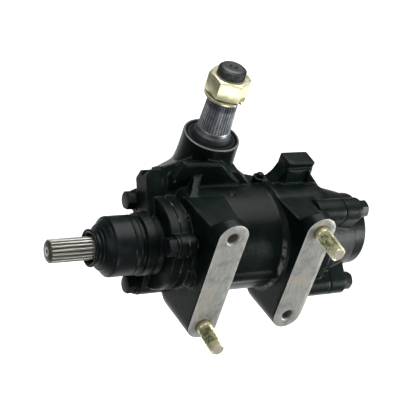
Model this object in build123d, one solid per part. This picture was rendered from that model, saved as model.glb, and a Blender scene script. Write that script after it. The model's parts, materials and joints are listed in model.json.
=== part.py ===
from build123d import *
import math
import os

# Steering gear with its rotary control valve, in millimetres.
# It is drawn with the worm axis along X from the input end to the end cover, the sector shaft
# along Z with its nut upwards, and both axes crossing the Z = 0 plane. The sector shaft is at X = 0.
# At the end everything moves so that the origin is the centre of the input side bracket's face.

# Layout of the two shafts and the brackets
CENTRE_DISTANCE = 52.0
BRACKET_STANDOFF = 61.0
BRACKET_X = -24.5
BRACKET_SPACING = 91.5

# Rack and sector teeth
TOOTH_MODULE = 4.5
TEETH_ROUND = 12
PRESSURE_ANGLE = 25.0
RACK_TEETH = 4
SECTOR_TEETH = 3
BACKLASH = 0.16
ROOT_CLEARANCE = 1.2
TOOTH_FACE = 44.0
FLANK_STEPS = 7
SWING = 40.0
RACK_RUN_OUT = 49.0

# Ball screw
LEAD = 10.0
BALL_R = 3.5
BALL_PATH_R = 13.3
GROOVE_GAP = 0.14
BALL_TURNS = 2.5
BALL_COUNT = 28
BALL_START = 3.5
WORM_R = 12.4
WORM_SHOULDER_R = 16.4
THREAD_START = -25.0
WORM_END = 56.0

# Ball return guide and its clamp
GUIDE_R = 5.2
GUIDE_BORE_R = 3.7
GUIDE_Y = -26.0
GUIDE_FOOT_Y = -10.4
GUIDE_BEND = 6.0
POCKET_Y = -20.0
POCKET_HALF_WIDTH = 20.0
POCKET_MARGIN = 10.0
CLAMP = 1.4
CLAMP_WIDTH = 8.0
CLAMP_SPAN = 14.0
CLAMP_FOOT = 7.0
CLAMP_SCREW_R = 1.5
CLAMP_HEAD_R = 2.8

# Cylinder and piston
BORE_R = 37.5
PISTON_GAP = 0.3
RING_GAP = 0.05
PISTON_START = -27.0
PISTON_LENGTH = 112.0
PISTON_BORE_R = 13.2
PISTON_HOLLOW_R = 16.0
PISTON_HOLLOW_X = 38.0
END_PLUG_R = 20.0
END_PLUG_LENGTH = 8.0
RING_X = 68.0
RING_WIDTH = 3.0
RING_DEPTH = 3.0

# Main housing
BARREL_R = 49.0
BARREL_WIDE_R = 52.5
BARREL_STEP_X = 47.0
JOINT_X = -54.0
JOINT_R = 42.5
JOINT_PLATE = 9.0
END_JOINT_X = 110.0
END_JOINT_R = 46.0
INNER_WALL = 3.5
SCREW_BORE_R = 16.5
CHAMBER_R = 33.6
CHAMBER_WALL = 9.4
CHAMBER_TOP = 24.0
SIDE_JOINT_Z = -52.0

# Wall in front of the boss
WALL = 7.0
WALL_BACK_Y = 27.0

# Lifting lug and the shelf under it
LUG_X = 78.2
LUG_Y = 18.5
LUG_RISE = 22.5
LUG_SUNK = 15.5
LUG_WIDTH = 29.6
LUG_DEPTH = 19.0
SHELF_X = 82.0
SHELF_Y = 12.0
SHELF_LENGTH = 32.0
SHELF_WIDTH = 38.0
SHELF_HEIGHT = 24.0

# Sector boss
BOSS_R = 26.5
BOSS_TOP = 80.0
BOSS_FOOT = 58.0
SHOULDER_Z = 20.0

# Brackets
BRACKET_WIDTH = 30.0
BRACKET_HEIGHT = 130.0
BRACKET_HOLE_Z = 50.0
BRACKET_LIP = 9.0
BRACKET_NECK = 15.5
BRACKET_NECK_Z = 53.4
BRACKET_CREST = 51.0
BRACKET_DRAFT = 4.5
BRACKET_LOW_STRAIGHT = 41.0
BRACKET_LOW_SLOPE = 13.0
TAPPED_R = 5.4
TAPPED_DEPTH = 13.0
MOUTH_BEVEL = 1.2
STUD_R = 7.0
STUD_SEAT_R = 6.3
STUD_OUT = 32.5
STUD_IN = 13.0

# Valve housing and its bolts
VALVE_FLANGE = 10.0
VALVE_NECK_R = 24.9
VALVE_COLLAR_R = 28.4
VALVE_COLLAR_START = -80.0
VALVE_COLLAR_END = -69.0
VALVE_NECK_START = -105.0
SLEEVE_BORE_R = 20.5
BOLT_CIRCLE_R = 44.0
BOLT_ANGLES = (25.0, 145.0, 265.0)
EAR_FACES = (-67.0, -61.0, -70.0)
EAR_BACKS = (-39.0, -45.0, -39.0)
EAR_R = 10.5
BOLT_R = 5.0
BOLT_FLATS = 15.0
BOLT_HEAD = 8.0
WASHER_R = 9.6
WASHER = 2.5
BOLT_GRIP = 14.0
HOLE_GAP = 0.4
PORT_ANGLE = 52.0
PORT_REACH = 66.0
PORT_BEVEL = 5.0
PORT_WIDTH = 22.0
PORT_R = 6.2
PORT_DEPTH = 14.0
PORT_BLOCK = (-70.0, -54.0)
RETURN_ANGLE = -48.0
RETURN_REACH = 46.0
RETURN_BLOCK = (-84.0, -66.0)
PASSAGE_R = 2.0
PASSAGE_SHIFT = 1.5

# End cover and its bolts
COVER_LENGTH = 27.0
COVER_R = 44.0
COVER_FACE_R = 37.0
COVER_BOSS_R = 34.5
COVER_BOSS = 15.0
COVER_SPIGOT = 4.5
COVER_WALL = 9.0
COVER_CAVITY_R = 28.0
END_EAR_R = 11.5
END_BOLT_CIRCLE_R = 53.0
END_BOLT_ANGLES = (-8.0, 121.0, 212.0, 301.0)
END_EAR_BACK = 80.0
END_EAR_FACE = 127.5

# Side cover, its bolts and the lash screw
SIDE_COVER = 12.0
SIDE_COVER_R = 43.0
SIDE_BOSS_R = 22.0
SIDE_BOSS = 13.0
SIDE_BOLT_CIRCLE_R = 40.0
SIDE_BOLTS = 4
SIDE_BOLT_TURN = 45.0
SIDE_EAR_R = 9.5
SIDE_SPIGOT = 6.0
SIDE_SLEEVE_TOP = -24.0
SIDE_FLOOR_Z = -51.0
SCREW_R = 5.2
SCREW_HEAD_R = 8.0
SCREW_HEAD = 3.0
SCREW_LOW_Z = -92.0
LOCK_NUT = 8.0
SCREW_POCKET_R = 9.0
SCREW_POCKET = 6.0

# Sector shaft, upwards from its lower end
SECTOR_LOW_Z = -50.0
JOURNAL_R = 17.5
LOWER_JOURNAL_R = 15.0
JOURNAL_TOP = 84.0
SERRATION_START = 89.0
SERRATION_END = 121.5
SERRATION_R = 15.4
SERRATION_END_R = 13.95
SERRATION_DEPTH = 0.9
SERRATIONS = 36
THREAD_R = 12.4
SHAFT_TOP = 153.0
NUT_FLATS = 34.0
NUT_HEIGHT = 18.0
NUT_TURN = 15.0
WASHER_HEIGHT = 4.6
WASHER_OUT_R = 19.0
WASHER_SPLIT = 2.6

# Input stub shaft, valve sleeve and torsion bar
INPUT_TIP = -164.0
INPUT_R = 10.5
INPUT_SERRATION = 28.0
INPUT_TEETH = 18
INPUT_TOOTH_DEPTH = 1.1
SPOOL_START = -88.0
SPOOL_END = -64.2
SPOOL_R = 11.0
SLOTS = 6
SLOT_WIDTH = 4.0
SLOT_DEPTH = 1.2
DOG_R = 8.0
DOG_HALF = 4.8
DOG_END = -55.5
TWIST = 4.0
SLEEVE_START = -87.0
SLEEVE_END = -64.0
SLEEVE_RING_X = (-85.4, -79.5, -71.5, -65.2)
SLEEVE_RING = 1.4
SLEEVE_RING_DEPTH = 1.8
SLEEVE_GROOVE_X = (-82.5, -75.5, -68.5)
SLEEVE_GROOVE = 4.0
SLEEVE_GROOVE_DEPTH = 2.4
SLEEVE_HOLE_R = 1.3
BAR_R = 2.5
BAR_END_R = 4.2
BAR_ENDS = (-100.0, -36.0)
BAR_END_LENGTH = 11.0
STUB_BORE_R = 3.5
PIN_R = 2.0
UPPER_PIN_X = -94.0
LOWER_PIN_X = -42.0
PIN_PLAY = 0.35

# Bearings, plug and seals of the valve
THRUST_R = 26.5
THRUST_IN_R = 17.5
THRUST_RACE = 0.8
THRUST_ROLLER_R = 1.0
THRUST_ROLLERS = 24
BEARING_SEAT = 3.8
WORM_COLLAR = 3.6
WORM_COLLAR_R = 26.0
PLUG_START = -102.1
PLUG_END = -88.2
PLUG_R = 20.4
INPUT_BEARING = (-98.6, -89.5)
INPUT_BEARING_R = 14.0
INPUT_SEAL_R = 15.0
NEEDLE_R = 1.2
LOCK_RING_X = -103.6
LOCK_RING = 1.3

# Bearings and seals of the sector shaft
UPPER_BEARING = (28.0, 58.0)
BEARING_OUT_R = 21.0
LOWER_BEARING = (-48.5, -27.0)
LOWER_BEARING_R = 18.6
OIL_SEAL_Z = (64.0, 71.6)
SNAP_RING_Z = (71.9, 73.1)
SNAP_RING_R = 24.0
DUST_SEAL_Z = (74.0, 79.2)
SEAL_R = 23.0
O_RING_R = 1.2

# Boot over the input end, as stations along X and radii
BOOT_R = 27.2
BOOT_WALL = 2.2
BOOT_START = -125.4
BOOT_END = -84.0
BOOT_NECK_R = 15.2
BOOT_NECK_END = -119.5
BOOT_SHOULDER = (-118.0, -114.5, -111.0, -108.0)
BOOT_SHOULDER_R = (17.6, 24.2, 26.8, 27.8)

# Small plugs on top of the cylinder
BLEEDER_AT = (48.0, 25.0)
BLEEDER_RISE = 3.8
BLEEDER_R = 3.3
BLEEDER_HEIGHT = 4.2
BALL_PLUG_AT = (6.6, 2.5)
BALL_PLUG_R = 3.0

# Shared running gaps
RUNNING_GAP = 0.05
SEAT_GAP = 0.1

# Sizes that follow from the ones above
BRACKET_CENTRES = (BRACKET_X, BRACKET_X + BRACKET_SPACING)
SECTOR_PITCH_R = TOOTH_MODULE * TEETH_ROUND / 2
SECTOR_TIP_R = SECTOR_PITCH_R + TOOTH_MODULE
SECTOR_ROOT_R = SECTOR_PITCH_R - ROOT_CLEARANCE * TOOTH_MODULE
RACK_PITCH_Y = CENTRE_DISTANCE - SECTOR_PITCH_R
TRAVEL = SECTOR_PITCH_R * math.radians(SWING)
RACK_TIP_Y = RACK_PITCH_Y + TOOTH_MODULE
RACK_ROOT_Y = RACK_PITCH_Y - ROOT_CLEARANCE * TOOTH_MODULE
PISTON_R = BORE_R - PISTON_GAP
PISTON_END = PISTON_START + PISTON_LENGTH
END_FACE_X = END_JOINT_X + COVER_LENGTH
END_OUTER_X = END_FACE_X + COVER_BOSS
CHAMBER_OUT_R = CHAMBER_R + CHAMBER_WALL
SECTOR_AT = (0.0, CENTRE_DISTANCE)
GROOVE_R = BALL_R + GROOVE_GAP
BALL_END = BALL_START + BALL_TURNS * LEAD
GUIDE_MIDDLE = (BALL_START + BALL_END) / 2
THRUST_LENGTH = 2 * THRUST_RACE + 2 * THRUST_ROLLER_R
BEARING_SEAT_X = JOINT_X + BEARING_SEAT
CAVITY_START = BEARING_SEAT_X + INNER_WALL
INNER_BEARING_X = BEARING_SEAT_X - THRUST_LENGTH
COLLAR_START = INNER_BEARING_X - SEAT_GAP - WORM_COLLAR
OUTER_BEARING_X = COLLAR_START - SEAT_GAP - THRUST_LENGTH
SLEEVE_R = SLEEVE_BORE_R - RUNNING_GAP
SIDE_FACE_Z = SIDE_JOINT_Z - SIDE_COVER
SIDE_OUTER_Z = SIDE_FACE_Z - SIDE_BOSS
COVER_SPIGOT_R = BORE_R - SEAT_GAP
SIDE_SPIGOT_R = CHAMBER_R - SEAT_GAP
BLEEDER_SEAT_Z = math.sqrt(BARREL_WIDE_R ** 2 - BLEEDER_AT[1] ** 2) + BLEEDER_RISE
LUG_TOP = BARREL_WIDE_R + LUG_RISE


def rod(axis, start, end, radius, at=(0.0, 0.0)):
    """A round rod along one axis; at is its place on the other two."""
    if axis == "x":
        base = Plane(origin=(start, at[0], at[1]), x_dir=(0, 1, 0), z_dir=(1, 0, 0))
    elif axis == "y":
        base = Plane(origin=(at[0], start, at[1]), x_dir=(1, 0, 0), z_dir=(0, 1, 0))
    else:
        base = Plane(origin=(at[0], at[1], start))
    return extrude(base * Circle(radius), amount=end - start)


def tube(axis, start, end, outer, inner, at=(0.0, 0.0)):
    return rod(axis, start, end, outer, at) - rod(axis, start, end, inner, at)


def turned_x(points, at=(0.0, 0.0)):
    """A turned form about an axis along X, from points of station and radius."""
    face = make_face(Polyline(*[(x, r, 0) for x, r in points], close=True))
    return Pos(0, at[0], at[1]) * revolve(face, Axis.X)


def turned_z(points, at=SECTOR_AT):
    """A turned form about an axis along Z, from points of radius and height."""
    face = make_face(Polyline(*[(r, 0, z) for r, z in points], close=True))
    return Pos(at[0], at[1], 0) * revolve(face, Axis.Z)


def around_x(radius, angle):
    """The Y and Z of a point on a circle about the worm axis."""
    turn = math.radians(angle)
    return radius * math.cos(turn), radius * math.sin(turn)


def around_sector(radius, angle):
    """The X and Y of a point on a circle about the sector axis."""
    turn = math.radians(angle)
    return radius * math.cos(turn), CENTRE_DISTANCE + radius * math.sin(turn)


def slab(plane, points, thickness):
    """A flat plate on one side of a plane, from corner points in either order."""
    return extrude(plane * Polygon(*points, align=None), amount=thickness, dir=plane.z_dir)


def ear_x(start, end, circle_r, angle, ear_r):
    """A flared ear along X, from the worm axis out to a bolt."""
    y, z = around_x(circle_r, angle)
    plane = Plane(origin=(start, 0, 0), x_dir=(0, 1, 0), z_dir=(1, 0, 0))
    flare = Polygon((0, -1.5 * ear_r), (circle_r, -ear_r), (circle_r, ear_r), (0, 1.5 * ear_r),
                    align=None)
    web = extrude(plane * Rot(0, 0, angle) * flare, amount=end - start)
    return web + rod("x", start, end, ear_r, (y, z))


def hexagon(axis, start, height, flats, at=(0.0, 0.0), turn=0.0):
    """A hexagon prism with its corners chamfered by a cone, as on a nut or a bolt head."""
    corner = flats / math.sqrt(3)
    if axis == "x":
        base = Plane(origin=(start, at[0], at[1]), x_dir=(0, 1, 0), z_dir=(1, 0, 0))
    elif axis == "y":
        base = Plane(origin=(at[0], start, at[1]), x_dir=(1, 0, 0), z_dir=(0, 1, 0))
    else:
        base = Plane(origin=(at[0], at[1], start))
    prism = extrude(base * Rot(0, 0, turn) * RegularPolygon(corner, 6), amount=height)
    drop = (corner - flats / 2) * 0.55
    size = abs(height)
    cone = revolve(make_face(Polyline((0, 0, 0), (corner, 0, 0), (corner, 0, size - drop),
                                      (flats / 2, 0, size), (0, 0, size), close=True)), Axis.Z)
    if height < 0:
        cone = Rot(180, 0, 0) * cone
    return prism & (base.location * cone)


def toothed(radius, depth, teeth):
    """A round section with straight sided serrations cut into its rim."""
    points = []
    for k in range(teeth):
        for share, r in ((-0.30, radius - depth), (-0.12, radius), (0.12, radius), (0.30, radius - depth)):
            turn = 2 * math.pi * (k + share) / teeth
            points.append((r * math.cos(turn), r * math.sin(turn)))
    return Polygon(*points, align=None)


# Main housing


def bracket(centre_x):
    """One mounting bracket: a long bar on edge that widens from its flat face back into the barrel."""
    face = Plane(origin=(centre_x, -BRACKET_STANDOFF, 0), x_dir=(0, 0, 1), z_dir=(0, 1, 0))
    bar = extrude(face * SlotOverall(BRACKET_HEIGHT, BRACKET_WIDTH), amount=BRACKET_STANDOFF + 4,
                  taper=-BRACKET_DRAFT)
    half = BRACKET_HEIGHT / 2
    pad = -BRACKET_STANDOFF
    heel = pad + BRACKET_LOW_STRAIGHT
    low = half + BRACKET_LOW_STRAIGHT * math.tan(math.radians(BRACKET_DRAFT))
    side = Polygon((pad, -low), (heel, -low), (heel + BRACKET_LOW_SLOPE, -BARREL_R + 1), (4, -BARREL_R + 1),
                   (4, BARREL_R), (0, BARREL_R), (-4, BRACKET_CREST), (pad + BRACKET_NECK, BRACKET_NECK_Z),
                   (pad + BRACKET_LIP, half + 1), (pad, half + 1), align=None)
    plane = Plane(origin=(centre_x - BRACKET_WIDTH, 0, 0), x_dir=(0, 1, 0), z_dir=(1, 0, 0))
    return bar & extrude(plane * side, amount=2 * BRACKET_WIDTH)


def sector_tower():
    """Chamber round the sector, its shoulder, the tall boss, and a web down its far side."""
    out = CHAMBER_OUT_R
    points = [(0, SIDE_JOINT_Z), (out, SIDE_JOINT_Z), (out, SHOULDER_Z), (out - 6, SHOULDER_Z + 8),
              (out - 11, SHOULDER_Z + 15), (BOSS_R + 2.2, BOSS_FOOT - 15), (BOSS_R + 0.9, BOSS_FOOT - 6),
              (BOSS_R + 0.4, BOSS_FOOT + 4), (BOSS_R, BOSS_TOP), (0, BOSS_TOP)]
    web = [(0, 30), (0, BOSS_FOOT + 2), (21, BOSS_FOOT + 1), (26, 54), (35, 44.5), (45, 38), (58, 35),
           (58, 30)]
    plane = Plane(origin=(0, CENTRE_DISTANCE - 6, 0), x_dir=(1, 0, 0), z_dir=(0, -1, 0))
    return turned_z(points) + slab(plane, web, 24)


def front_wall():
    """Raised wall in front of the boss, with sloping shoulders and a slanting rib."""
    outline = [(-50, 22), (-50.5, 42), (-48.5, 57), (-44.5, 66), (-40, 71.3), (0, 69.3), (7, 63), (13, 56.5),
               (24, 48), (26, 40), (17, 22)]
    front = WALL_BACK_Y - WALL
    wall = slab(Plane(origin=(0, WALL_BACK_Y, 0), x_dir=(1, 0, 0), z_dir=(0, -1, 0)), outline, WALL)
    rim = [edge for edge in wall.edges() if edge.center().Y < front + 0.1 and edge.center().Z > 45]
    wall = chamfer(rim, 1.6)
    start = Vector(-26, front - 3, 51)
    end = Vector(-42, -13, 36)
    run = end - start
    rib = extrude(Plane(origin=start - run * 0.25, z_dir=run, x_dir=(1, 0, 0)) * Rectangle(7.5, 11),
                  amount=run.length * 1.3)
    return wall + rib


def joint_web():
    """Web that rises from the joint flange to the boss, behind the front wall."""
    outline = [(JOINT_X, 20), (JOINT_X, PORT_REACH + 2), (JOINT_X + JOINT_PLATE, PORT_REACH + 4),
               (-28, 75), (-16, 77), (-8, 60), (-8, 20)]
    turn = math.radians(PORT_ANGLE)
    outward = Vector(0, math.cos(turn), math.sin(turn))
    across = Vector(1, 0, 0).cross(outward)
    return slab(Plane(origin=-across * (PORT_WIDTH / 2), x_dir=(1, 0, 0), z_dir=across), outline, PORT_WIDTH)


def lug():
    """Lifting lug on the far shelf, with a groove across its front and a web on each side."""
    height = LUG_RISE + LUG_SUNK
    block = Pos(LUG_X, LUG_Y, LUG_TOP - height / 2) * Box(LUG_WIDTH, LUG_DEPTH, height)
    block = fillet(block.edges().filter_by(Axis.Z), 2.5)
    groove = Pos(LUG_X, LUG_Y - LUG_DEPTH / 2, LUG_TOP - 5.5) * Box(LUG_WIDTH + 4, 3.4, 4.5)
    near, far = LUG_X - LUG_WIDTH / 2 + 5, LUG_X + LUG_WIDTH / 2 - 5
    foot = LUG_TOP - height + 1
    rising = [(near, LUG_TOP - 7), (near - 6, LUG_TOP - 10), (near - 9, LUG_TOP - 17.5),
              (near - 15, LUG_TOP - 24.5), (near - 23, LUG_TOP - 29), (near - 23, foot), (near, foot)]
    falling = [(far, LUG_TOP - 9), (far + 4.5, LUG_TOP - 14), (far + 11, LUG_TOP - 20.5),
               (far + 17, LUG_TOP - 27), (END_JOINT_X, LUG_TOP - 31), (END_JOINT_X, foot), (far, foot)]
    left = Plane(origin=(0, LUG_Y + 7.5, 0), x_dir=(1, 0, 0), z_dir=(0, -1, 0))
    right = Plane(origin=(0, LUG_Y + 2.5, 0), x_dir=(1, 0, 0), z_dir=(0, -1, 0))
    return block - groove + slab(left, rising, 14) + slab(right, falling, 14)


def shelf():
    middle = BARREL_WIDE_R - 0.5 - SHELF_HEIGHT / 2
    return Pos(SHELF_X, SHELF_Y, middle) * Box(SHELF_LENGTH, SHELF_WIDTH, SHELF_HEIGHT)


def gallery():
    """Oil gallery cast along the front of the barrel."""
    return rod("x", JOINT_X + JOINT_PLATE, 100, 9.5, (-41.5, -7))


def housing_cavity():
    cavity = rod("x", CAVITY_START, END_JOINT_X, BORE_R)
    cavity += rod("x", JOINT_X, CAVITY_START, SCREW_BORE_R)
    cavity += rod("x", JOINT_X, BEARING_SEAT_X, THRUST_R + SEAT_GAP)
    cavity += rod("z", SIDE_JOINT_Z, CHAMBER_TOP, CHAMBER_R, SECTOR_AT)
    cavity += rod("z", CHAMBER_TOP, UPPER_BEARING[1], BEARING_OUT_R, SECTOR_AT)
    cavity += rod("z", UPPER_BEARING[1], BOSS_TOP, JOURNAL_R + 1, SECTOR_AT)
    cavity += rod("z", OIL_SEAL_Z[0], BOSS_TOP, SEAL_R, SECTOR_AT)
    cavity += rod("z", SNAP_RING_Z[0] - SEAT_GAP, SNAP_RING_Z[1] + SEAT_GAP, SNAP_RING_R, SECTOR_AT)
    return cavity


def main_housing():
    body = turned_x([
        (JOINT_X, 0), (JOINT_X, JOINT_R), (JOINT_X + JOINT_PLATE, JOINT_R),
        (JOINT_X + JOINT_PLATE + 0.6, JOINT_R - 1), (-43, JOINT_R - 1), (-38, BARREL_R),
        (BARREL_STEP_X - 2, BARREL_R), (BARREL_STEP_X + 2, BARREL_WIDE_R), (98, BARREL_WIDE_R),
        (103, END_JOINT_R + 1), (END_JOINT_X, END_JOINT_R), (END_JOINT_X, 0),
    ])
    body += sector_tower() + front_wall() + joint_web() + gallery() + shelf() + lug()
    body += rod("z", 30, BLEEDER_SEAT_Z, BLEEDER_R + 3, BLEEDER_AT)
    for centre in BRACKET_CENTRES:
        body += bracket(centre)
    for angle, back in zip(BOLT_ANGLES, EAR_BACKS):
        body += ear_x(JOINT_X, back, BOLT_CIRCLE_R, angle, EAR_R)
    for angle in END_BOLT_ANGLES:
        body += ear_x(END_EAR_BACK, END_JOINT_X, END_BOLT_CIRCLE_R, angle, END_EAR_R)
    for k in range(SIDE_BOLTS):
        at = around_sector(SIDE_BOLT_CIRCLE_R, SIDE_BOLT_TURN + k * 360 / SIDE_BOLTS)
        body += rod("z", SIDE_JOINT_Z, SIDE_JOINT_Z + 22, SIDE_EAR_R, at)
    body -= housing_cavity()
    for angle in BOLT_ANGLES:
        body -= rod("x", JOINT_X, JOINT_X + BOLT_GRIP, BOLT_R, around_x(BOLT_CIRCLE_R, angle))
    for angle in END_BOLT_ANGLES:
        at = around_x(END_BOLT_CIRCLE_R, angle)
        body -= rod("x", END_JOINT_X - BOLT_GRIP, END_JOINT_X, BOLT_R, at)
    for k in range(SIDE_BOLTS):
        at = around_sector(SIDE_BOLT_CIRCLE_R, SIDE_BOLT_TURN + k * 360 / SIDE_BOLTS)
        body -= rod("z", SIDE_JOINT_Z, SIDE_JOINT_Z + BOLT_GRIP, BOLT_R, at)
    for x, z, radius, depth in bracket_holes():
        body -= rod("y", -BRACKET_STANDOFF, -BRACKET_STANDOFF + depth, radius, (x, z))
        mouth = Cone(radius + MOUTH_BEVEL + 0.2, radius, MOUTH_BEVEL + 0.2)
        body -= Pos(x, -BRACKET_STANDOFF + MOUTH_BEVEL / 2 - 0.1, z) * Rot(-90, 0, 0) * mouth
    body -= rod("z", BLEEDER_SEAT_Z - 5, BLEEDER_SEAT_Z, BLEEDER_R - 1, BLEEDER_AT)
    body -= rod("z", BARREL_R - 4, BARREL_R + 1, BALL_PLUG_R, BALL_PLUG_AT)
    return body


def bracket_holes():
    """Place, radius and depth of the tapped holes and stud seats in the bracket faces."""
    left, right = BRACKET_CENTRES
    high, low = BRACKET_HOLE_Z, -BRACKET_HOLE_Z
    return ((left, high, TAPPED_R, TAPPED_DEPTH), (right, low, TAPPED_R, TAPPED_DEPTH),
            (left, low, STUD_SEAT_R, STUD_IN), (right, high, STUD_SEAT_R, STUD_IN))


# Valve housing


def port_block(block, angle, reach, bevel):
    """A square block that stands out of the valve housing for a pipe port, bevelled at its free corner."""
    turn = math.radians(angle)
    outward = Vector(0, math.cos(turn), math.sin(turn))
    across = Vector(1, 0, 0).cross(outward)
    start, end = block
    outline = [(start, 0), (start, reach - 1.3 * bevel), (start + bevel, reach), (end, reach), (end, 0)]
    return slab(Plane(origin=-across * (PORT_WIDTH / 2), x_dir=(1, 0, 0), z_dir=across), outline, PORT_WIDTH)


def port_hole(block, angle, reach, passage_x):
    """A pipe port, and the small passage from its bottom to the sleeve."""
    turn = math.radians(angle)
    outward = Vector(0, math.cos(turn), math.sin(turn))
    mouth = Plane(origin=Vector((block[0] + block[1]) / 2, 0, 0) + outward * reach, x_dir=(1, 0, 0),
                  z_dir=outward)
    floor = Plane(origin=Vector(passage_x, 0, 0) + outward * (SLEEVE_BORE_R - 1), x_dir=(1, 0, 0),
                  z_dir=outward)
    port = extrude(mouth * Circle(PORT_R), amount=-PORT_DEPTH)
    return port + extrude(floor * Circle(PASSAGE_R), amount=reach - PORT_DEPTH - SLEEVE_BORE_R + 2)


def valve_housing():
    back = JOINT_X - VALVE_FLANGE
    body = turned_x([
        (VALVE_NECK_START, 0), (VALVE_NECK_START, VALVE_NECK_R - 1), (VALVE_NECK_START + 1, VALVE_NECK_R),
        (VALVE_COLLAR_START, VALVE_NECK_R), (VALVE_COLLAR_START, VALVE_COLLAR_R - 0.6),
        (VALVE_COLLAR_START + 0.6, VALVE_COLLAR_R), (VALVE_COLLAR_END - 0.6, VALVE_COLLAR_R),
        (VALVE_COLLAR_END, VALVE_COLLAR_R - 0.6), (VALVE_COLLAR_END, VALVE_NECK_R),
        (back, VALVE_NECK_R + 3), (back, JOINT_R - 1), (back + 1, JOINT_R), (JOINT_X, JOINT_R),
        (JOINT_X, 0),
    ])
    for angle, face in zip(BOLT_ANGLES, EAR_FACES):
        body += ear_x(face, JOINT_X, BOLT_CIRCLE_R, angle, EAR_R)
    body += port_block(PORT_BLOCK, PORT_ANGLE, PORT_REACH, PORT_BEVEL)
    body += port_block(RETURN_BLOCK, RETURN_ANGLE, RETURN_REACH, 1)
    body -= rod("x", VALVE_NECK_START, JOINT_X, SLEEVE_BORE_R)
    body -= rod("x", OUTER_BEARING_X, JOINT_X, THRUST_R + SEAT_GAP)
    body -= rod("x", LOCK_RING_X - SEAT_GAP, LOCK_RING_X + LOCK_RING + SEAT_GAP, SLEEVE_BORE_R + 1.3)
    seal_r = THRUST_R + SEAT_GAP + 3.4
    body -= tube("x", JOINT_X - 2 * O_RING_R, JOINT_X, seal_r + O_RING_R, seal_r - O_RING_R)
    body -= port_hole(PORT_BLOCK, PORT_ANGLE, PORT_REACH, SLEEVE_GROOVE_X[2] + PASSAGE_SHIFT)
    body -= port_hole(RETURN_BLOCK, RETURN_ANGLE, RETURN_REACH, SLEEVE_GROOVE_X[1])
    for angle, face in zip(BOLT_ANGLES, EAR_FACES):
        at = around_x(BOLT_CIRCLE_R, angle)
        body -= rod("x", face, JOINT_X, BOLT_R + HOLE_GAP, at)
        body -= rod("x", face - WASHER - BOLT_HEAD - 1, face, WASHER_R + 0.6, at)
    return body


def bolt_x(face, grip_end, at, way, turn):
    """A flanged bolt along X: way is -1 with its head on the low side of the face, else 1."""
    head = hexagon("x", face + way * WASHER, way * BOLT_HEAD, BOLT_FLATS, at, turn)
    washer = rod("x", face, face + way * WASHER, WASHER_R, at)
    return head + washer + rod("x", min(face, grip_end), max(face, grip_end), BOLT_R - 0.05, at)


def valve_housing_bolts():
    end = JOINT_X + BOLT_GRIP - 1
    return Compound([bolt_x(face, end, around_x(BOLT_CIRCLE_R, angle), -1, 12 + angle)
                     for angle, face in zip(BOLT_ANGLES, EAR_FACES)])


def end_cover_bolts():
    end = END_JOINT_X - BOLT_GRIP + 1
    return Compound([bolt_x(END_EAR_FACE, end, around_x(END_BOLT_CIRCLE_R, angle), 1, 8 + angle)
                     for angle in END_BOLT_ANGLES])


def o_ring(axis, station, radius, at=(0.0, 0.0)):
    ring = Torus(radius, O_RING_R)
    if axis == "x":
        return Pos(station, at[0], at[1]) * Rot(0, 90, 0) * ring
    return Pos(at[0], at[1], station) * ring


def valve_joint_seal():
    return o_ring("x", JOINT_X - O_RING_R, THRUST_R + SEAT_GAP + 3.4)


# Covers


def end_cover():
    spigot = END_JOINT_X - COVER_SPIGOT
    body = turned_x([
        (spigot, 0), (spigot, COVER_SPIGOT_R - 1), (spigot + 1, COVER_SPIGOT_R),
        (END_JOINT_X, COVER_SPIGOT_R), (END_JOINT_X, COVER_R), (END_FACE_X - 1, COVER_FACE_R),
        (END_FACE_X, COVER_BOSS_R + 0.8), (END_OUTER_X - 2.5, COVER_BOSS_R),
        (END_OUTER_X - 0.7, COVER_BOSS_R - 1.6), (END_OUTER_X, COVER_BOSS_R - 4), (END_OUTER_X, 0),
    ])
    for angle in END_BOLT_ANGLES:
        body += ear_x(END_JOINT_X, END_EAR_FACE, END_BOLT_CIRCLE_R, angle, END_EAR_R)
    body -= rod("x", spigot, END_OUTER_X - COVER_WALL, COVER_CAVITY_R)
    body -= tube("x", END_JOINT_X - 3.4, END_JOINT_X - 3.4 + 2 * O_RING_R, COVER_SPIGOT_R + 1,
                 COVER_SPIGOT_R - 2 * O_RING_R)
    for angle in END_BOLT_ANGLES:
        at = around_x(END_BOLT_CIRCLE_R, angle)
        body -= rod("x", END_JOINT_X, END_EAR_FACE, BOLT_R + HOLE_GAP, at)
        body -= rod("x", END_EAR_FACE, END_FACE_X + 1, WASHER_R + 0.6, at)
    return body


def end_cover_seal():
    return o_ring("x", END_JOINT_X - 3.4 + O_RING_R, COVER_SPIGOT_R - O_RING_R)


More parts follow.
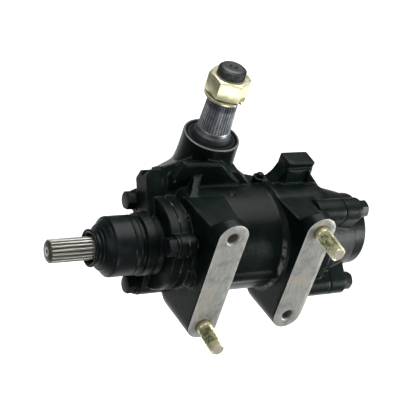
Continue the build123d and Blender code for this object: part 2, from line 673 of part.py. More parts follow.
def side_cover():
    low = SIDE_FACE_Z
    body = turned_z([
        (0, SIDE_OUTER_Z), (SIDE_BOSS_R - 1.5, SIDE_OUTER_Z), (SIDE_BOSS_R, SIDE_OUTER_Z + 1.5),
        (SIDE_BOSS_R + 1.5, low), (SIDE_COVER_R - 1.5, low), (SIDE_COVER_R, low + 1.5),
        (SIDE_COVER_R, SIDE_JOINT_Z), (SIDE_SPIGOT_R, SIDE_JOINT_Z),
        (SIDE_SPIGOT_R, SIDE_JOINT_Z + SIDE_SPIGOT), (LOWER_BEARING_R + 3.4, SIDE_JOINT_Z + SIDE_SPIGOT),
        (LOWER_BEARING_R + 3.4, SIDE_SLEEVE_TOP), (0, SIDE_SLEEVE_TOP),
    ])
    for k in range(SIDE_BOLTS):
        at = around_sector(SIDE_BOLT_CIRCLE_R, SIDE_BOLT_TURN + k * 360 / SIDE_BOLTS)
        body += rod("z", low, SIDE_JOINT_Z, SIDE_EAR_R, at)
        body -= rod("z", low, SIDE_JOINT_Z, BOLT_R + HOLE_GAP, at)
    body -= rod("z", SIDE_FLOOR_Z, SIDE_SLEEVE_TOP, LOWER_BEARING_R, SECTOR_AT)
    body -= rod("z", SIDE_OUTER_Z, SIDE_FLOOR_Z, SCREW_R + RUNNING_GAP, SECTOR_AT)
    groove = SIDE_JOINT_Z + 1.8
    body -= tube("z", groove, groove + 2 * O_RING_R, SIDE_SPIGOT_R + 1, SIDE_SPIGOT_R - 2 * O_RING_R,
                 SECTOR_AT)
    return body


def side_cover_seal():
    return o_ring("z", SIDE_JOINT_Z + 1.8 + O_RING_R, SIDE_SPIGOT_R - O_RING_R, SECTOR_AT)


def side_cover_bolts():
    bolts = []
    for k in range(SIDE_BOLTS):
        at = around_sector(SIDE_BOLT_CIRCLE_R, SIDE_BOLT_TURN + k * 360 / SIDE_BOLTS)
        bolts.append(hexagon("z", SIDE_FACE_Z - WASHER, -BOLT_HEAD, BOLT_FLATS, at, 20 * k)
                     + rod("z", SIDE_FACE_Z - WASHER, SIDE_FACE_Z, WASHER_R, at)
                     + rod("z", SIDE_FACE_Z, SIDE_JOINT_Z + BOLT_GRIP - 1, BOLT_R - 0.05, at))
    return Compound(bolts)


def lash_adjusting_screw():
    head_low = SECTOR_LOW_Z + SCREW_POCKET - SCREW_HEAD - 0.3
    screw = rod("z", SCREW_LOW_Z + 1, head_low, SCREW_R, SECTOR_AT)
    screw += rod("z", head_low, head_low + SCREW_HEAD, SCREW_HEAD_R, SECTOR_AT)
    screw += turned_z([(0, SCREW_LOW_Z), (SCREW_R - 1, SCREW_LOW_Z), (SCREW_R, SCREW_LOW_Z + 1),
                       (0, SCREW_LOW_Z + 1)])
    socket = Plane(origin=(*SECTOR_AT, SCREW_LOW_Z)) * RegularPolygon(2.9, 6)
    return screw - extrude(socket, amount=6)


def lash_lock_nut():
    nut = hexagon("z", SIDE_OUTER_Z, -LOCK_NUT, BOLT_FLATS, SECTOR_AT, 5)
    return nut - rod("z", SIDE_OUTER_Z - LOCK_NUT, SIDE_OUTER_Z, SCREW_R + RUNNING_GAP, SECTOR_AT)


def screw_retainer():
    low = SECTOR_LOW_Z
    high = SECTOR_LOW_Z + SCREW_POCKET - SCREW_HEAD - 0.5
    ring = tube("z", low, high, SCREW_POCKET_R, SCREW_R + 0.4, SECTOR_AT)
    for side in (-1, 1):
        ring -= Pos(side * 7.3, CENTRE_DISTANCE, low) * Box(3, 2, 2)
    return ring


# Bearings and seals


def needles_z(low, high, shaft_r, shell_r, count):
    """A drawn cup needle bearing on the sector shaft: a shell and a ring of needles."""
    run_r = shaft_r + RUNNING_GAP + NEEDLE_R
    shell = tube("z", low, high, shell_r, run_r + NEEDLE_R + 0.02, SECTOR_AT)
    for end, way in ((low, 1), (high, -1)):
        shell += tube("z", min(end, end + way * 0.8), max(end, end + way * 0.8), shell_r - 0.5, run_r - 0.6,
                      SECTOR_AT)
    rollers = [rod("z", low + 1, high - 1, NEEDLE_R, around_sector(run_r, k * 360 / count))
               for k in range(count)]
    return Compound([shell] + rollers)


def upper_sector_bearing():
    return needles_z(UPPER_BEARING[0], UPPER_BEARING[1], JOURNAL_R, BEARING_OUT_R, 40)


def lower_sector_bearing():
    return needles_z(LOWER_BEARING[0], LOWER_BEARING[1], LOWER_JOURNAL_R, LOWER_BEARING_R, 36)


def input_needle_bearing():
    low, high = INPUT_BEARING
    run_r = INPUT_R + RUNNING_GAP + NEEDLE_R - 0.2
    needle_r = NEEDLE_R - 0.2
    shell = tube("x", low, high, INPUT_BEARING_R, run_r + needle_r + 0.02)
    for end, way in ((low, 1), (high, -1)):
        shell += tube("x", min(end, end + way * 0.8), max(end, end + way * 0.8), INPUT_BEARING_R - 0.5,
                      run_r - 0.4)
    rollers = [rod("x", low + 1, high - 1, needle_r, around_x(run_r, k * 12)) for k in range(30)]
    return Compound([shell] + rollers)


def thrust_bearing(start):
    """Two thin races with radial rollers between them."""
    near = start + THRUST_RACE
    far = start + THRUST_LENGTH - THRUST_RACE
    races = [tube("x", start, near, THRUST_R, THRUST_IN_R), tube("x", far, start + THRUST_LENGTH,
                                                                  THRUST_R, THRUST_IN_R)]
    rollers = []
    for k in range(THRUST_ROLLERS):
        plane = Plane(origin=((near + far) / 2, 0, 0), x_dir=(1, 0, 0),
                      z_dir=(0, *around_x(1, k * 360 / THRUST_ROLLERS)))
        roller = extrude(plane * Circle(THRUST_ROLLER_R), amount=THRUST_R - 1)
        roller -= extrude(plane * Circle(THRUST_ROLLER_R + 1), amount=THRUST_IN_R + 1.5)
        rollers.append(roller)
    return Compound(races + rollers)


def inner_thrust_bearing():
    return thrust_bearing(INNER_BEARING_X)


def outer_thrust_bearing():
    return thrust_bearing(OUTER_BEARING_X)


def bearing_plug():
    plug = tube("x", PLUG_START, PLUG_END, PLUG_R, INPUT_R + 0.4)
    plug -= rod("x", PLUG_START, INPUT_BEARING[1], INPUT_BEARING_R)
    plug -= rod("x", PLUG_START, INPUT_BEARING[0], INPUT_SEAL_R)
    for k in range(4):
        plug -= rod("x", PLUG_START, PLUG_START + 3, 1.5, around_x(17.7, 45 + 90 * k))
    return plug


def input_oil_seal():
    lip = INPUT_R + RUNNING_GAP
    low, high = PLUG_START + 0.2, INPUT_BEARING[0] - 0.1
    return turned_x([(low, lip + 1.4), (low, INPUT_SEAL_R), (high, INPUT_SEAL_R), (high, lip + 2),
                     (high - 1, lip + 2), (high - 0.9, lip), (high - 2, lip), (low + 0.9, lip + 1.4)])


def plug_lock_ring():
    ring = tube("x", LOCK_RING_X, LOCK_RING_X + LOCK_RING, SLEEVE_BORE_R + 1.2, SLEEVE_BORE_R - 2)
    return ring - Pos(LOCK_RING_X + LOCK_RING / 2, 0, -SLEEVE_BORE_R) * Box(3, 7, 6)


def sector_oil_seal():
    low, high = OIL_SEAL_Z
    lip = JOURNAL_R + RUNNING_GAP
    return turned_z([(lip + 2, low), (SEAL_R, low), (SEAL_R, high), (lip + 1.2, high), (lip + 1.2, high - 1),
                     (lip + 2.4, high - 1.6), (lip, low + 2.4), (lip, low + 1.2)])


def sector_dust_seal():
    low, high = DUST_SEAL_Z
    lip = JOURNAL_R + RUNNING_GAP
    return turned_z([(lip + 1, low), (SEAL_R, low), (SEAL_R, high - 0.8), (SEAL_R - 0.8, high),
                     (lip + 2.8, high), (lip + 2.2, high - 1), (lip, high - 1.4), (lip, high - 2.4),
                     (lip + 1, low + 1)])


def seal_snap_ring():
    ring = tube("z", SNAP_RING_Z[0], SNAP_RING_Z[1], SNAP_RING_R - 0.1, SEAL_R - 2.6, SECTOR_AT)
    return ring - Pos(0, CENTRE_DISTANCE + SEAL_R, SNAP_RING_Z[0]) * Box(8, 8, 4)


def input_dust_boot():
    outside = [(BOOT_END, BOOT_R - 0.8), (BOOT_END - 0.8, BOOT_R), (BOOT_SHOULDER[3] + 1.5, BOOT_R)]
    outside += list(zip(BOOT_SHOULDER, BOOT_SHOULDER_R))[::-1]
    outside += [(BOOT_NECK_END, BOOT_NECK_R - 0.6), (BOOT_START + 1.6, BOOT_NECK_R - 0.3),
                (BOOT_START + 0.6, BOOT_NECK_R), (BOOT_START, BOOT_NECK_R - 0.5)]
    hollow = BOOT_R - BOOT_WALL
    inside = [(BOOT_START, INPUT_R + 0.2), (BOOT_START + 1.8, INPUT_R + 0.2),
              (BOOT_START + 3, BOOT_NECK_R - 3), (BOOT_NECK_END + 2, BOOT_NECK_R - 3),
              (BOOT_SHOULDER[0] + 2.2, BOOT_SHOULDER_R[0] - 0.6),
              (BOOT_SHOULDER[1] + 1.6, BOOT_SHOULDER_R[1] - 2), (BOOT_SHOULDER[2] + 1, hollow - 0.8),
              (VALVE_NECK_START - 1.2, hollow), (BOOT_END, hollow)]
    return turned_x(outside + inside)


# Valve


def input_stub_shaft():
    serrated = INPUT_TIP + INPUT_SERRATION
    tip = Plane(origin=(INPUT_TIP, 0, 0), x_dir=(0, 1, 0), z_dir=(1, 0, 0))
    splines = extrude(tip * toothed(INPUT_R, INPUT_TOOTH_DEPTH, INPUT_TEETH), amount=INPUT_SERRATION)
    splines &= turned_x([(INPUT_TIP, 0), (INPUT_TIP, INPUT_R - 1.8), (INPUT_TIP + 2, INPUT_R + 0.1),
                         (serrated, INPUT_R + 0.1), (serrated, 0)])
    shaft = splines + turned_x([(serrated, 0), (serrated, INPUT_R), (SPOOL_START, INPUT_R),
                                (SPOOL_START, SPOOL_R), (SPOOL_END, SPOOL_R), (SPOOL_END, 0)])
    for k in range(SLOTS):
        y, z = around_x(SPOOL_R, k * 360 / SLOTS)
        slot = Box(SPOOL_END - SPOOL_START - 8, 2 * SLOT_DEPTH, SLOT_WIDTH)
        shaft -= Pos((SPOOL_START + SPOOL_END) / 2, y, z) * Rot(k * 360 / SLOTS, 0, 0) * slot
    dog = rod("x", SPOOL_END, DOG_END, DOG_R) & (Pos(SPOOL_END, 0, 0) * Box(40, 2 * DOG_HALF, 2 * DOG_R + 2))
    shaft += dog
    shaft -= rod("x", BAR_ENDS[0] - 1, DOG_END, STUB_BORE_R)
    shaft -= rod("x", BAR_ENDS[0] - 1, BAR_ENDS[0] + BAR_END_LENGTH + 3, BAR_END_R + SEAT_GAP)
    return shaft - rod("z", -INPUT_R - 1, INPUT_R + 1, PIN_R, (UPPER_PIN_X, 0))


def torsion_bar():
    start, end = BAR_ENDS
    bar = turned_x([(start, 0), (start, BAR_END_R - 0.4), (start + 0.4, BAR_END_R),
                    (start + BAR_END_LENGTH, BAR_END_R), (start + BAR_END_LENGTH + 3, BAR_R),
                    (end - BAR_END_LENGTH - 3, BAR_R), (end - BAR_END_LENGTH, BAR_END_R),
                    (end - 0.4, BAR_END_R), (end, BAR_END_R - 0.4), (end, 0)])
    bar -= rod("z", -BAR_END_R - 1, BAR_END_R + 1, PIN_R + PIN_PLAY, (UPPER_PIN_X, 0))
    return bar - rod("z", -BAR_END_R - 1, BAR_END_R + 1, PIN_R, (LOWER_PIN_X, 0))


def torsion_bar_upper_pin():
    return rod("z", -INPUT_R + 0.3, INPUT_R - 0.3, PIN_R, (UPPER_PIN_X, 0))


def torsion_bar_lower_pin():
    return rod("z", -WORM_R + 0.4, WORM_R - 0.4, PIN_R, (LOWER_PIN_X, 0))


def valve_sleeve():
    sleeve = tube("x", SLEEVE_START, SLEEVE_END, SLEEVE_R, SPOOL_R + RUNNING_GAP)
    for station in SLEEVE_RING_X:
        sleeve -= tube("x", station - SLEEVE_RING / 2 - 0.05, station + SLEEVE_RING / 2 + 0.05,
                       SLEEVE_R + 1, SLEEVE_R - SLEEVE_RING_DEPTH)
    for row, station in enumerate(SLEEVE_GROOVE_X):
        sleeve -= tube("x", station - SLEEVE_GROOVE / 2, station + SLEEVE_GROOVE / 2, SLEEVE_R + 1,
                       SLEEVE_R - SLEEVE_GROOVE_DEPTH)
        for k in range(SLOTS):
            angle = (k + row / 3) * 360 / SLOTS
            plane = Plane(origin=(station, 0, 0), x_dir=(1, 0, 0), z_dir=(0, *around_x(1, angle)))
            sleeve -= extrude(plane * Circle(SLEEVE_HOLE_R), amount=SLEEVE_R)
    return sleeve


def sleeve_seal_rings():
    return Compound([tube("x", station - SLEEVE_RING / 2, station + SLEEVE_RING / 2, SLEEVE_R + 0.02,
                          SLEEVE_R - SLEEVE_RING_DEPTH) for station in SLEEVE_RING_X])


# Ball screw, piston and rack


def ball_groove(start, end):
    """The round groove that the balls run in, in step with the first ball."""
    path = Helix(LEAD, end - start, BALL_PATH_R)
    section = Plane(origin=path @ 0, z_dir=path % 0) * Circle(GROOVE_R)
    groove = sweep(section, path=path, is_frenet=True)
    return Pos(start, 0, 0) * Rot(0, 90, 0) * Rot(0, 0, 360 * (start - BALL_START) / LEAD) * groove


def ball_places():
    for k in range(BALL_COUNT):
        share = (k + 0.5) / BALL_COUNT
        turn = 2 * math.pi * BALL_TURNS * share
        yield (BALL_START + (BALL_END - BALL_START) * share, BALL_PATH_R * math.sin(turn),
               -BALL_PATH_R * math.cos(turn))


def worm_shaft():
    collar = COLLAR_START + WORM_COLLAR
    worm = turned_x([
        (SLEEVE_END, 0), (SLEEVE_END, THRUST_IN_R - 1), (SLEEVE_END + 0.5, THRUST_IN_R - 0.5),
        (COLLAR_START, THRUST_IN_R - 0.5), (COLLAR_START, WORM_COLLAR_R), (collar, WORM_COLLAR_R),
        (collar, WORM_SHOULDER_R), (BEARING_SEAT_X, WORM_SHOULDER_R), (BEARING_SEAT_X + 2, WORM_R),
        (WORM_END - 2, WORM_R), (WORM_END, WORM_R - 2), (WORM_END, 0),
    ])
    play = DOG_R * math.sin(math.asin(DOG_HALF / DOG_R) + math.radians(TWIST)) + 0.12
    cup = rod("x", SLEEVE_END, DOG_END + 0.6, DOG_R + 0.4) & (Pos(SLEEVE_END, 0, 0) * Box(40, 2 * play, 40))
    worm -= cup
    worm -= rod("x", DOG_END, BAR_ENDS[1] + 0.4, BAR_END_R + 0.02)
    worm -= rod("z", -WORM_R - 1, WORM_R + 1, PIN_R, (LOWER_PIN_X, 0))
    return worm - ball_groove(THREAD_START, WORM_END - 5)


def recirculating_balls():
    return Compound([Pos(*place) * Sphere(BALL_R) for place in ball_places()])


def rack_tooth(centre):
    """One straight sided rack tooth, which stands on the flat cut along the piston."""
    slope = math.tan(math.radians(PRESSURE_ANGLE))
    half = (math.pi * TOOTH_MODULE / 2 - BACKLASH) / 2
    foot = RACK_ROOT_Y - 2
    wide = half + (RACK_PITCH_Y - RACK_ROOT_Y) * slope
    narrow = half - (RACK_TIP_Y - RACK_PITCH_Y) * slope
    outline = Polygon((centre - wide, foot), (centre + wide, foot), (centre + wide, RACK_ROOT_Y),
                      (centre + narrow, RACK_TIP_Y), (centre - narrow, RACK_TIP_Y),
                      (centre - wide, RACK_ROOT_Y), align=None)
    return extrude(Plane(origin=(0, 0, -TOOTH_FACE / 2)) * outline, amount=TOOTH_FACE)


def rack_piston():
    body = turned_x([(PISTON_START, 0), (PISTON_START, PISTON_R - 2), (PISTON_START + 2, PISTON_R),
                     (PISTON_END - 2, PISTON_R), (PISTON_END, PISTON_R - 2), (PISTON_END, 0)])
    flat = Polygon((PISTON_START - 1, RACK_ROOT_Y), (RACK_RUN_OUT - 14, RACK_ROOT_Y),
                   (RACK_RUN_OUT, PISTON_R + 1), (RACK_RUN_OUT, PISTON_R + 6),
                   (PISTON_START - 1, PISTON_R + 6), align=None)
    body -= extrude(Plane(origin=(0, 0, -BORE_R)) * flat, amount=2 * BORE_R)
    round_off = rod("x", PISTON_START, PISTON_END, PISTON_R)
    for k in range(RACK_TEETH):
        centre = (k - (RACK_TEETH - 1) / 2) * math.pi * TOOTH_MODULE
        body += rack_tooth(centre) & round_off
    body -= rod("x", PISTON_START, PISTON_END, PISTON_BORE_R)
    body -= rod("x", PISTON_HOLLOW_X, PISTON_END - END_PLUG_LENGTH, PISTON_HOLLOW_R)
    body -= rod("x", PISTON_END - END_PLUG_LENGTH, PISTON_END, END_PLUG_R)
    body -= tube("x", RING_X - 0.1, RING_X + RING_WIDTH + 0.1, PISTON_R + 1, PISTON_R - RING_DEPTH)
    body -= ball_groove(BALL_START, BALL_END)
    for station, side in ((BALL_START, -1), (BALL_END, 1)):
        at = (station, side * BALL_PATH_R)
        body -= rod("y", GUIDE_FOOT_Y - 1, 0, GROOVE_R, at)
        body -= rod("y", POCKET_Y - 3, GUIDE_FOOT_Y, GUIDE_R + SEAT_GAP, at)
    pocket = Box(BALL_END - BALL_START + 2 * POCKET_MARGIN, PISTON_R, 2 * POCKET_HALF_WIDTH)
    body -= Pos(GUIDE_MIDDLE, POCKET_Y - PISTON_R / 2, 0) * pocket
    for side in (-1, 1):
        at = (GUIDE_MIDDLE + side * (CLAMP_SPAN + CLAMP_FOOT / 2 + CLAMP), 0)
        body -= rod("y", POCKET_Y - 1, POCKET_Y + 2.6, CLAMP_SCREW_R, at)
    return body


def piston_ring():
    ring = tube("x", RING_X, RING_X + RING_WIDTH, BORE_R - RING_GAP, PISTON_R - RING_DEPTH)
    return ring - Pos(RING_X, 0, -BORE_R) * Box(8, 1, 8)


def piston_end_plug():
    start = PISTON_END - END_PLUG_LENGTH
    plug = turned_x([(start, 0), (start, END_PLUG_R), (PISTON_END - 1, END_PLUG_R),
                     (PISTON_END, END_PLUG_R - 1), (PISTON_END, 0)])
    socket = Plane(origin=(PISTON_END, 0, 0), x_dir=(0, 1, 0), z_dir=(1, 0, 0)) * RegularPolygon(8, 6)
    return plug - extrude(socket, amount=-5)


def ball_return_guide():
    near, far = BALL_PATH_R, -BALL_PATH_R
    path = FilletPolyline((BALL_START, GUIDE_FOOT_Y, far), (BALL_START, GUIDE_Y, far),
                          (BALL_END, GUIDE_Y, near), (BALL_END, GUIDE_FOOT_Y, near), radius=GUIDE_BEND)
    section = Plane(origin=path @ 0, z_dir=path % 0) * (Circle(GUIDE_R) - Circle(GUIDE_BORE_R))
    return sweep(section, path=path)


def guide_clamp():
    top = GUIDE_Y - GUIDE_R - 0.05
    strap = Pos(GUIDE_MIDDLE, top - CLAMP / 2, 0) * Box(2 * (CLAMP_SPAN + CLAMP), CLAMP, CLAMP_WIDTH)
    for side in (-1, 1):
        leg = Box(CLAMP, POCKET_Y - top + CLAMP, CLAMP_WIDTH)
        strap += Pos(GUIDE_MIDDLE + side * (CLAMP_SPAN + CLAMP / 2), (POCKET_Y + top - CLAMP) / 2, 0) * leg
        middle = GUIDE_MIDDLE + side * (CLAMP_SPAN + CLAMP / 2 + CLAMP_FOOT / 2)
        strap += Pos(middle, POCKET_Y - CLAMP / 2, 0) * Box(CLAMP_FOOT + CLAMP, CLAMP, CLAMP_WIDTH)
        at = (GUIDE_MIDDLE + side * (CLAMP_SPAN + CLAMP_FOOT / 2 + CLAMP), 0)
        strap -= rod("y", POCKET_Y - 2 * CLAMP, POCKET_Y + 1, CLAMP_SCREW_R + 0.2, at)
    return strap


def guide_clamp_screws():
    screws = []
    for side in (-1, 1):
        at = (GUIDE_MIDDLE + side * (CLAMP_SPAN + CLAMP_FOOT / 2 + CLAMP), 0)
        low = POCKET_Y - CLAMP
        screws.append(rod("y", low, POCKET_Y + 2.5, CLAMP_SCREW_R - 0.02, at)
                      + rod("y", low - 2, low, CLAMP_HEAD_R, at))
    return Compound(screws)


# Sector shaft with what rides on it


def involute_angle(radius):
    """Polar angle of an involute at a radius, counted from where it leaves its base circle."""
    base = SECTOR_PITCH_R * math.cos(math.radians(PRESSURE_ANGLE))
    if radius <= base:
        return 0.0
    pressure = math.acos(base / radius)
    return math.tan(pressure) - pressure


def sector_tooth(centre_angle):
    """One involute tooth of the sector, on the sector shaft's axis."""
    half = (math.pi * TOOTH_MODULE / 2 - BACKLASH) / 2 / SECTOR_PITCH_R
    base = SECTOR_PITCH_R * math.cos(math.radians(PRESSURE_ANGLE))
    radii = [SECTOR_ROOT_R - 2] + [base + (SECTOR_TIP_R - base) * k / FLANK_STEPS
                                   for k in range(FLANK_STEPS + 1)]
    flank = [(radius, half + involute_angle(SECTOR_PITCH_R) - involute_angle(radius)) for radius in radii]
    middle = math.radians(centre_angle)
    points = [(r * math.cos(middle - a), r * math.sin(middle - a)) for r, a in flank]
    points += [(r * math.cos(middle + a), r * math.sin(middle + a)) for r, a in reversed(flank)]
    return extrude(Plane(origin=(*SECTOR_AT, -TOOTH_FACE / 2)) * Polygon(*points, align=None),
                   amount=TOOTH_FACE)


def sector_shaft():
    half = TOOTH_FACE / 2
    shaft = turned_z([
        (0, SECTOR_LOW_Z), (LOWER_JOURNAL_R - 1, SECTOR_LOW_Z), (LOWER_JOURNAL_R, SECTOR_LOW_Z + 1),
        (LOWER_JOURNAL_R, -half), (SECTOR_ROOT_R, -half), (SECTOR_ROOT_R, half), (JOURNAL_R, half),
        (JOURNAL_R, JOURNAL_TOP), (SERRATION_R + 0.4, JOURNAL_TOP + 2), (SERRATION_R - 0.6, SERRATION_START),
        (0, SERRATION_START),
    ])
    for k in range(SECTOR_TEETH):
        shaft += sector_tooth(-90 + (k - (SECTOR_TEETH - 1) / 2) * 360 / TEETH_ROUND)
    wide = Plane(origin=(*SECTOR_AT, SERRATION_START)) * toothed(SERRATION_R, SERRATION_DEPTH, SERRATIONS)
    small = Plane(origin=(*SECTOR_AT, SERRATION_END)) * toothed(SERRATION_END_R, SERRATION_DEPTH, SERRATIONS)
    shaft += loft([wide, small], ruled=True)
    shaft += turned_z([(0, SERRATION_END), (THREAD_R, SERRATION_END), (THREAD_R, SHAFT_TOP - 2.4),
                       (THREAD_R - 1.6, SHAFT_TOP - 0.8), (THREAD_R - 4, SHAFT_TOP), (0, SHAFT_TOP)])
    shaft -= turned_z([(0, SHAFT_TOP - 6), (1.6, SHAFT_TOP - 4), (1.6, SHAFT_TOP - 2.4), (4, SHAFT_TOP),
                       (0, SHAFT_TOP + 1)])
    return shaft - rod("z", SECTOR_LOW_Z, SECTOR_LOW_Z + SCREW_POCKET, SCREW_POCKET_R, SECTOR_AT)


def sector_nut():
    start = SERRATION_END + WASHER_HEIGHT
    nut = hexagon("z", start, NUT_HEIGHT, NUT_FLATS, SECTOR_AT, NUT_TURN)
    return nut - rod("z", start, start + NUT_HEIGHT, THREAD_R + RUNNING_GAP, SECTOR_AT)


def spring_washer():
    washer = tube("z", SERRATION_END, SERRATION_END + WASHER_HEIGHT, WASHER_OUT_R, THREAD_R + 0.3, SECTOR_AT)
    cut = Pos(0, CENTRE_DISTANCE - WASHER_OUT_R, SERRATION_END) * Rot(0, 25, 0) * Box(WASHER_SPLIT, 16, 20)
    return washer - cut


# Studs and plugs


def mounting_studs():
    studs = []
    pad = -BRACKET_STANDOFF
    for x, z, radius, depth in bracket_holes()[2:]:
        stud = rod("y", pad - STUD_OUT, pad, STUD_R, (x, z))
        stud = chamfer(stud.faces().sort_by(Axis.Y)[0].edges(), 1.2)
        studs.append(stud + rod("y", pad, pad + depth, radius, (x, z)))
    return Compound(studs)


def bleeder_plug():
    low = BLEEDER_SEAT_Z
    stem = rod("z", low - 4.5, low, BLEEDER_R - 1, BLEEDER_AT)
    cap = turned_z([(0, low), (BLEEDER_R, low), (BLEEDER_R, low + BLEEDER_HEIGHT - 1.4),
                    (BLEEDER_R - 1.2, low + BLEEDER_HEIGHT - 0.3), (0, low + BLEEDER_HEIGHT)], BLEEDER_AT)
    return stem + cap


def gallery_plug():
    return turned_z([(0, BARREL_R - 4), (BALL_PLUG_R, BARREL_R - 4), (BALL_PLUG_R, BARREL_R - 0.8),
                     (BALL_PLUG_R - 1, BARREL_R - 0.1), (0, BARREL_R + 0.2)], BALL_PLUG_AT)


exported = {
    "main_housing": main_housing, "valve_housing": valve_housing, "end_cover": end_cover,
    "side_cover": side_cover, "valve_housing_bolts": valve_housing_bolts, "end_cover_bolts": end_cover_bolts,
    "side_cover_bolts": side_cover_bolts, "mounting_studs": mounting_studs, "bleeder_plug": bleeder_plug,
    "gallery_plug": gallery_plug, "input_dust_boot": input_dust_boot, "bearing_plug": bearing_plug,
    "plug_lock_ring": plug_lock_ring, "input_oil_seal": input_oil_seal,
    "input_needle_bearing": input_needle_bearing, "inner_thrust_bearing": inner_thrust_bearing,
    "outer_thrust_bearing": outer_thrust_bearing, "valve_joint_seal": valve_joint_seal,
    "end_cover_seal": end_cover_seal, "side_cover_seal": side_cover_seal,
    "upper_sector_bearing": upper_sector_bearing, "lower_sector_bearing": lower_sector_bearing,
    "sector_oil_seal": sector_oil_seal, "sector_dust_seal": sector_dust_seal,
    "seal_snap_ring": seal_snap_ring, "lash_adjusting_screw": lash_adjusting_screw,
    "lash_lock_nut": lash_lock_nut, "worm_shaft": worm_shaft, "valve_sleeve": valve_sleeve,
    "sleeve_seal_rings": sleeve_seal_rings, "torsion_bar": torsion_bar,
    "torsion_bar_lower_pin": torsion_bar_lower_pin, "input_stub_shaft": input_stub_shaft,
    "torsion_bar_upper_pin": torsion_bar_upper_pin, "rack_piston": rack_piston, "piston_ring": piston_ring,
    "piston_end_plug": piston_end_plug, "recirculating_balls": recirculating_balls,
    "ball_return_guide": ball_return_guide, "guide_clamp": guide_clamp,
    "guide_clamp_screws": guide_clamp_screws, "sector_shaft": sector_shaft, "sector_nut": sector_nut,
    "spring_washer": spring_washer, "screw_retainer": screw_retainer,
}

os.makedirs("parts", exist_ok=True)
to_datum = Pos(-BRACKET_X, BRACKET_STANDOFF, 0)
for name, make in exported.items():
    shape = make()
    export_step(to_datum * shape, "parts/" + name + ".step")
    print(name, len(shape.solids()), round(shape.volume), shape.is_valid)
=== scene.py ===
# %% [markdown]
# # Dressing a steering gear and its control valve
# The real object is a black painted iron casting with two long mounting brackets. A steering shaft goes
# in at the left, through a rubber boot, and a thick sector shaft with a big nut comes out at the top.
# The CAD model gives every solid its place, so this lesson only adds what an eye expects: cast edges that
# are soft, threads that are cut, paint, plating, rubber, and the light of a small studio.
# Every piece is made where the CAD solid lies, so nothing has to be fitted afterwards.

# %% Load the gear
import json
import math
from contextlib import contextmanager

import bmesh
import bpy
import numpy as np
from mathutils import Matrix, Vector
from mathutils.bvhtree import BVHTree


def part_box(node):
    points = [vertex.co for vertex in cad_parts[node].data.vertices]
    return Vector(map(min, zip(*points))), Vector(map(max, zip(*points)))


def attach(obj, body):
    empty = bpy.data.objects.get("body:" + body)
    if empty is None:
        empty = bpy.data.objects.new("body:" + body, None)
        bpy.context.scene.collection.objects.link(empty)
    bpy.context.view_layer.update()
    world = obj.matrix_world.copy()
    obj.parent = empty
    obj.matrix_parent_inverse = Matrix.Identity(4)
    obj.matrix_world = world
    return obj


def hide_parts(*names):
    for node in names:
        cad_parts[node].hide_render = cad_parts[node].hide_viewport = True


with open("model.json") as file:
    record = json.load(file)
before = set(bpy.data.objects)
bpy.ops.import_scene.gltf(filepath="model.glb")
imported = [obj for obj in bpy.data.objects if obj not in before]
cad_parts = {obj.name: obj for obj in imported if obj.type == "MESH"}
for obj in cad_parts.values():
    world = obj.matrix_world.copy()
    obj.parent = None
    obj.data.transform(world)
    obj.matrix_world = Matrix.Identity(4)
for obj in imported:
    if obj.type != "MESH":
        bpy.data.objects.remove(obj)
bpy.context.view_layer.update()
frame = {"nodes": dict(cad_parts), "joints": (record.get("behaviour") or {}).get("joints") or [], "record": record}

solids = frame["nodes"]
MM = 0.001

# %% [markdown]
# ## Places to work from
# Nearly everything here is turned about one of two lines: the worm's, along X, and the sector shaft's, along
# Z. The joints of the model give both lines, its mounts give the studs and the holes in the bracket pads,
# and the boxes of the solids give the faces. Read like this, the places stay true when the model changes.

# %% Lines, holes and faces
joint_at = {joint["name"]: joint.get("pos_m") for joint in frame["joints"]}
mount_at = {mount["name"]: mount["pos_m"] for mount in frame["record"]["mounts"]}
_, WORM_Y, _ = joint_at["worm_spin"]
SECTOR_X, SECTOR_Y, _ = joint_at["sector_swing"]
STUDS = [mount_at["left_mounting_stud"], mount_at["right_mounting_stud"]]
PAD_HOLES = STUDS + [mount_at["left_bracket_thread"], mount_at["right_bracket_thread"]]

STUD_TIP_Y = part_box("mounting_studs")[0].y
SHAFT_TIP_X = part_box("input_stub_shaft")[0].x
BOSS_RIM_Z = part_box("main_housing")[1].z
NUT_TOP_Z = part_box("sector_nut")[1].z
JOINT_FACE_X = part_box("valve_housing")[1].x

# Sizes of the castings that no joint, mount or box tells.
FLANGE_BACK_X = JOINT_FACE_X + 8.9 * MM
STEP_X, BARREL_R = 71.5 * MM, 49 * MM
print("worm line at Y", WORM_Y, "and sector line at", (SECTOR_X, SECTOR_Y))

# %% [markdown]
# ## Sums inside a shader
# A finish is a recipe of masks and grains. Written as plain sums it stays readable, so a small class wraps
# one socket and turns every plus, minus, times and divide into a Math node. All other nodes come from its
# one method `node`, which sets the node's type and settings first and its sockets last.


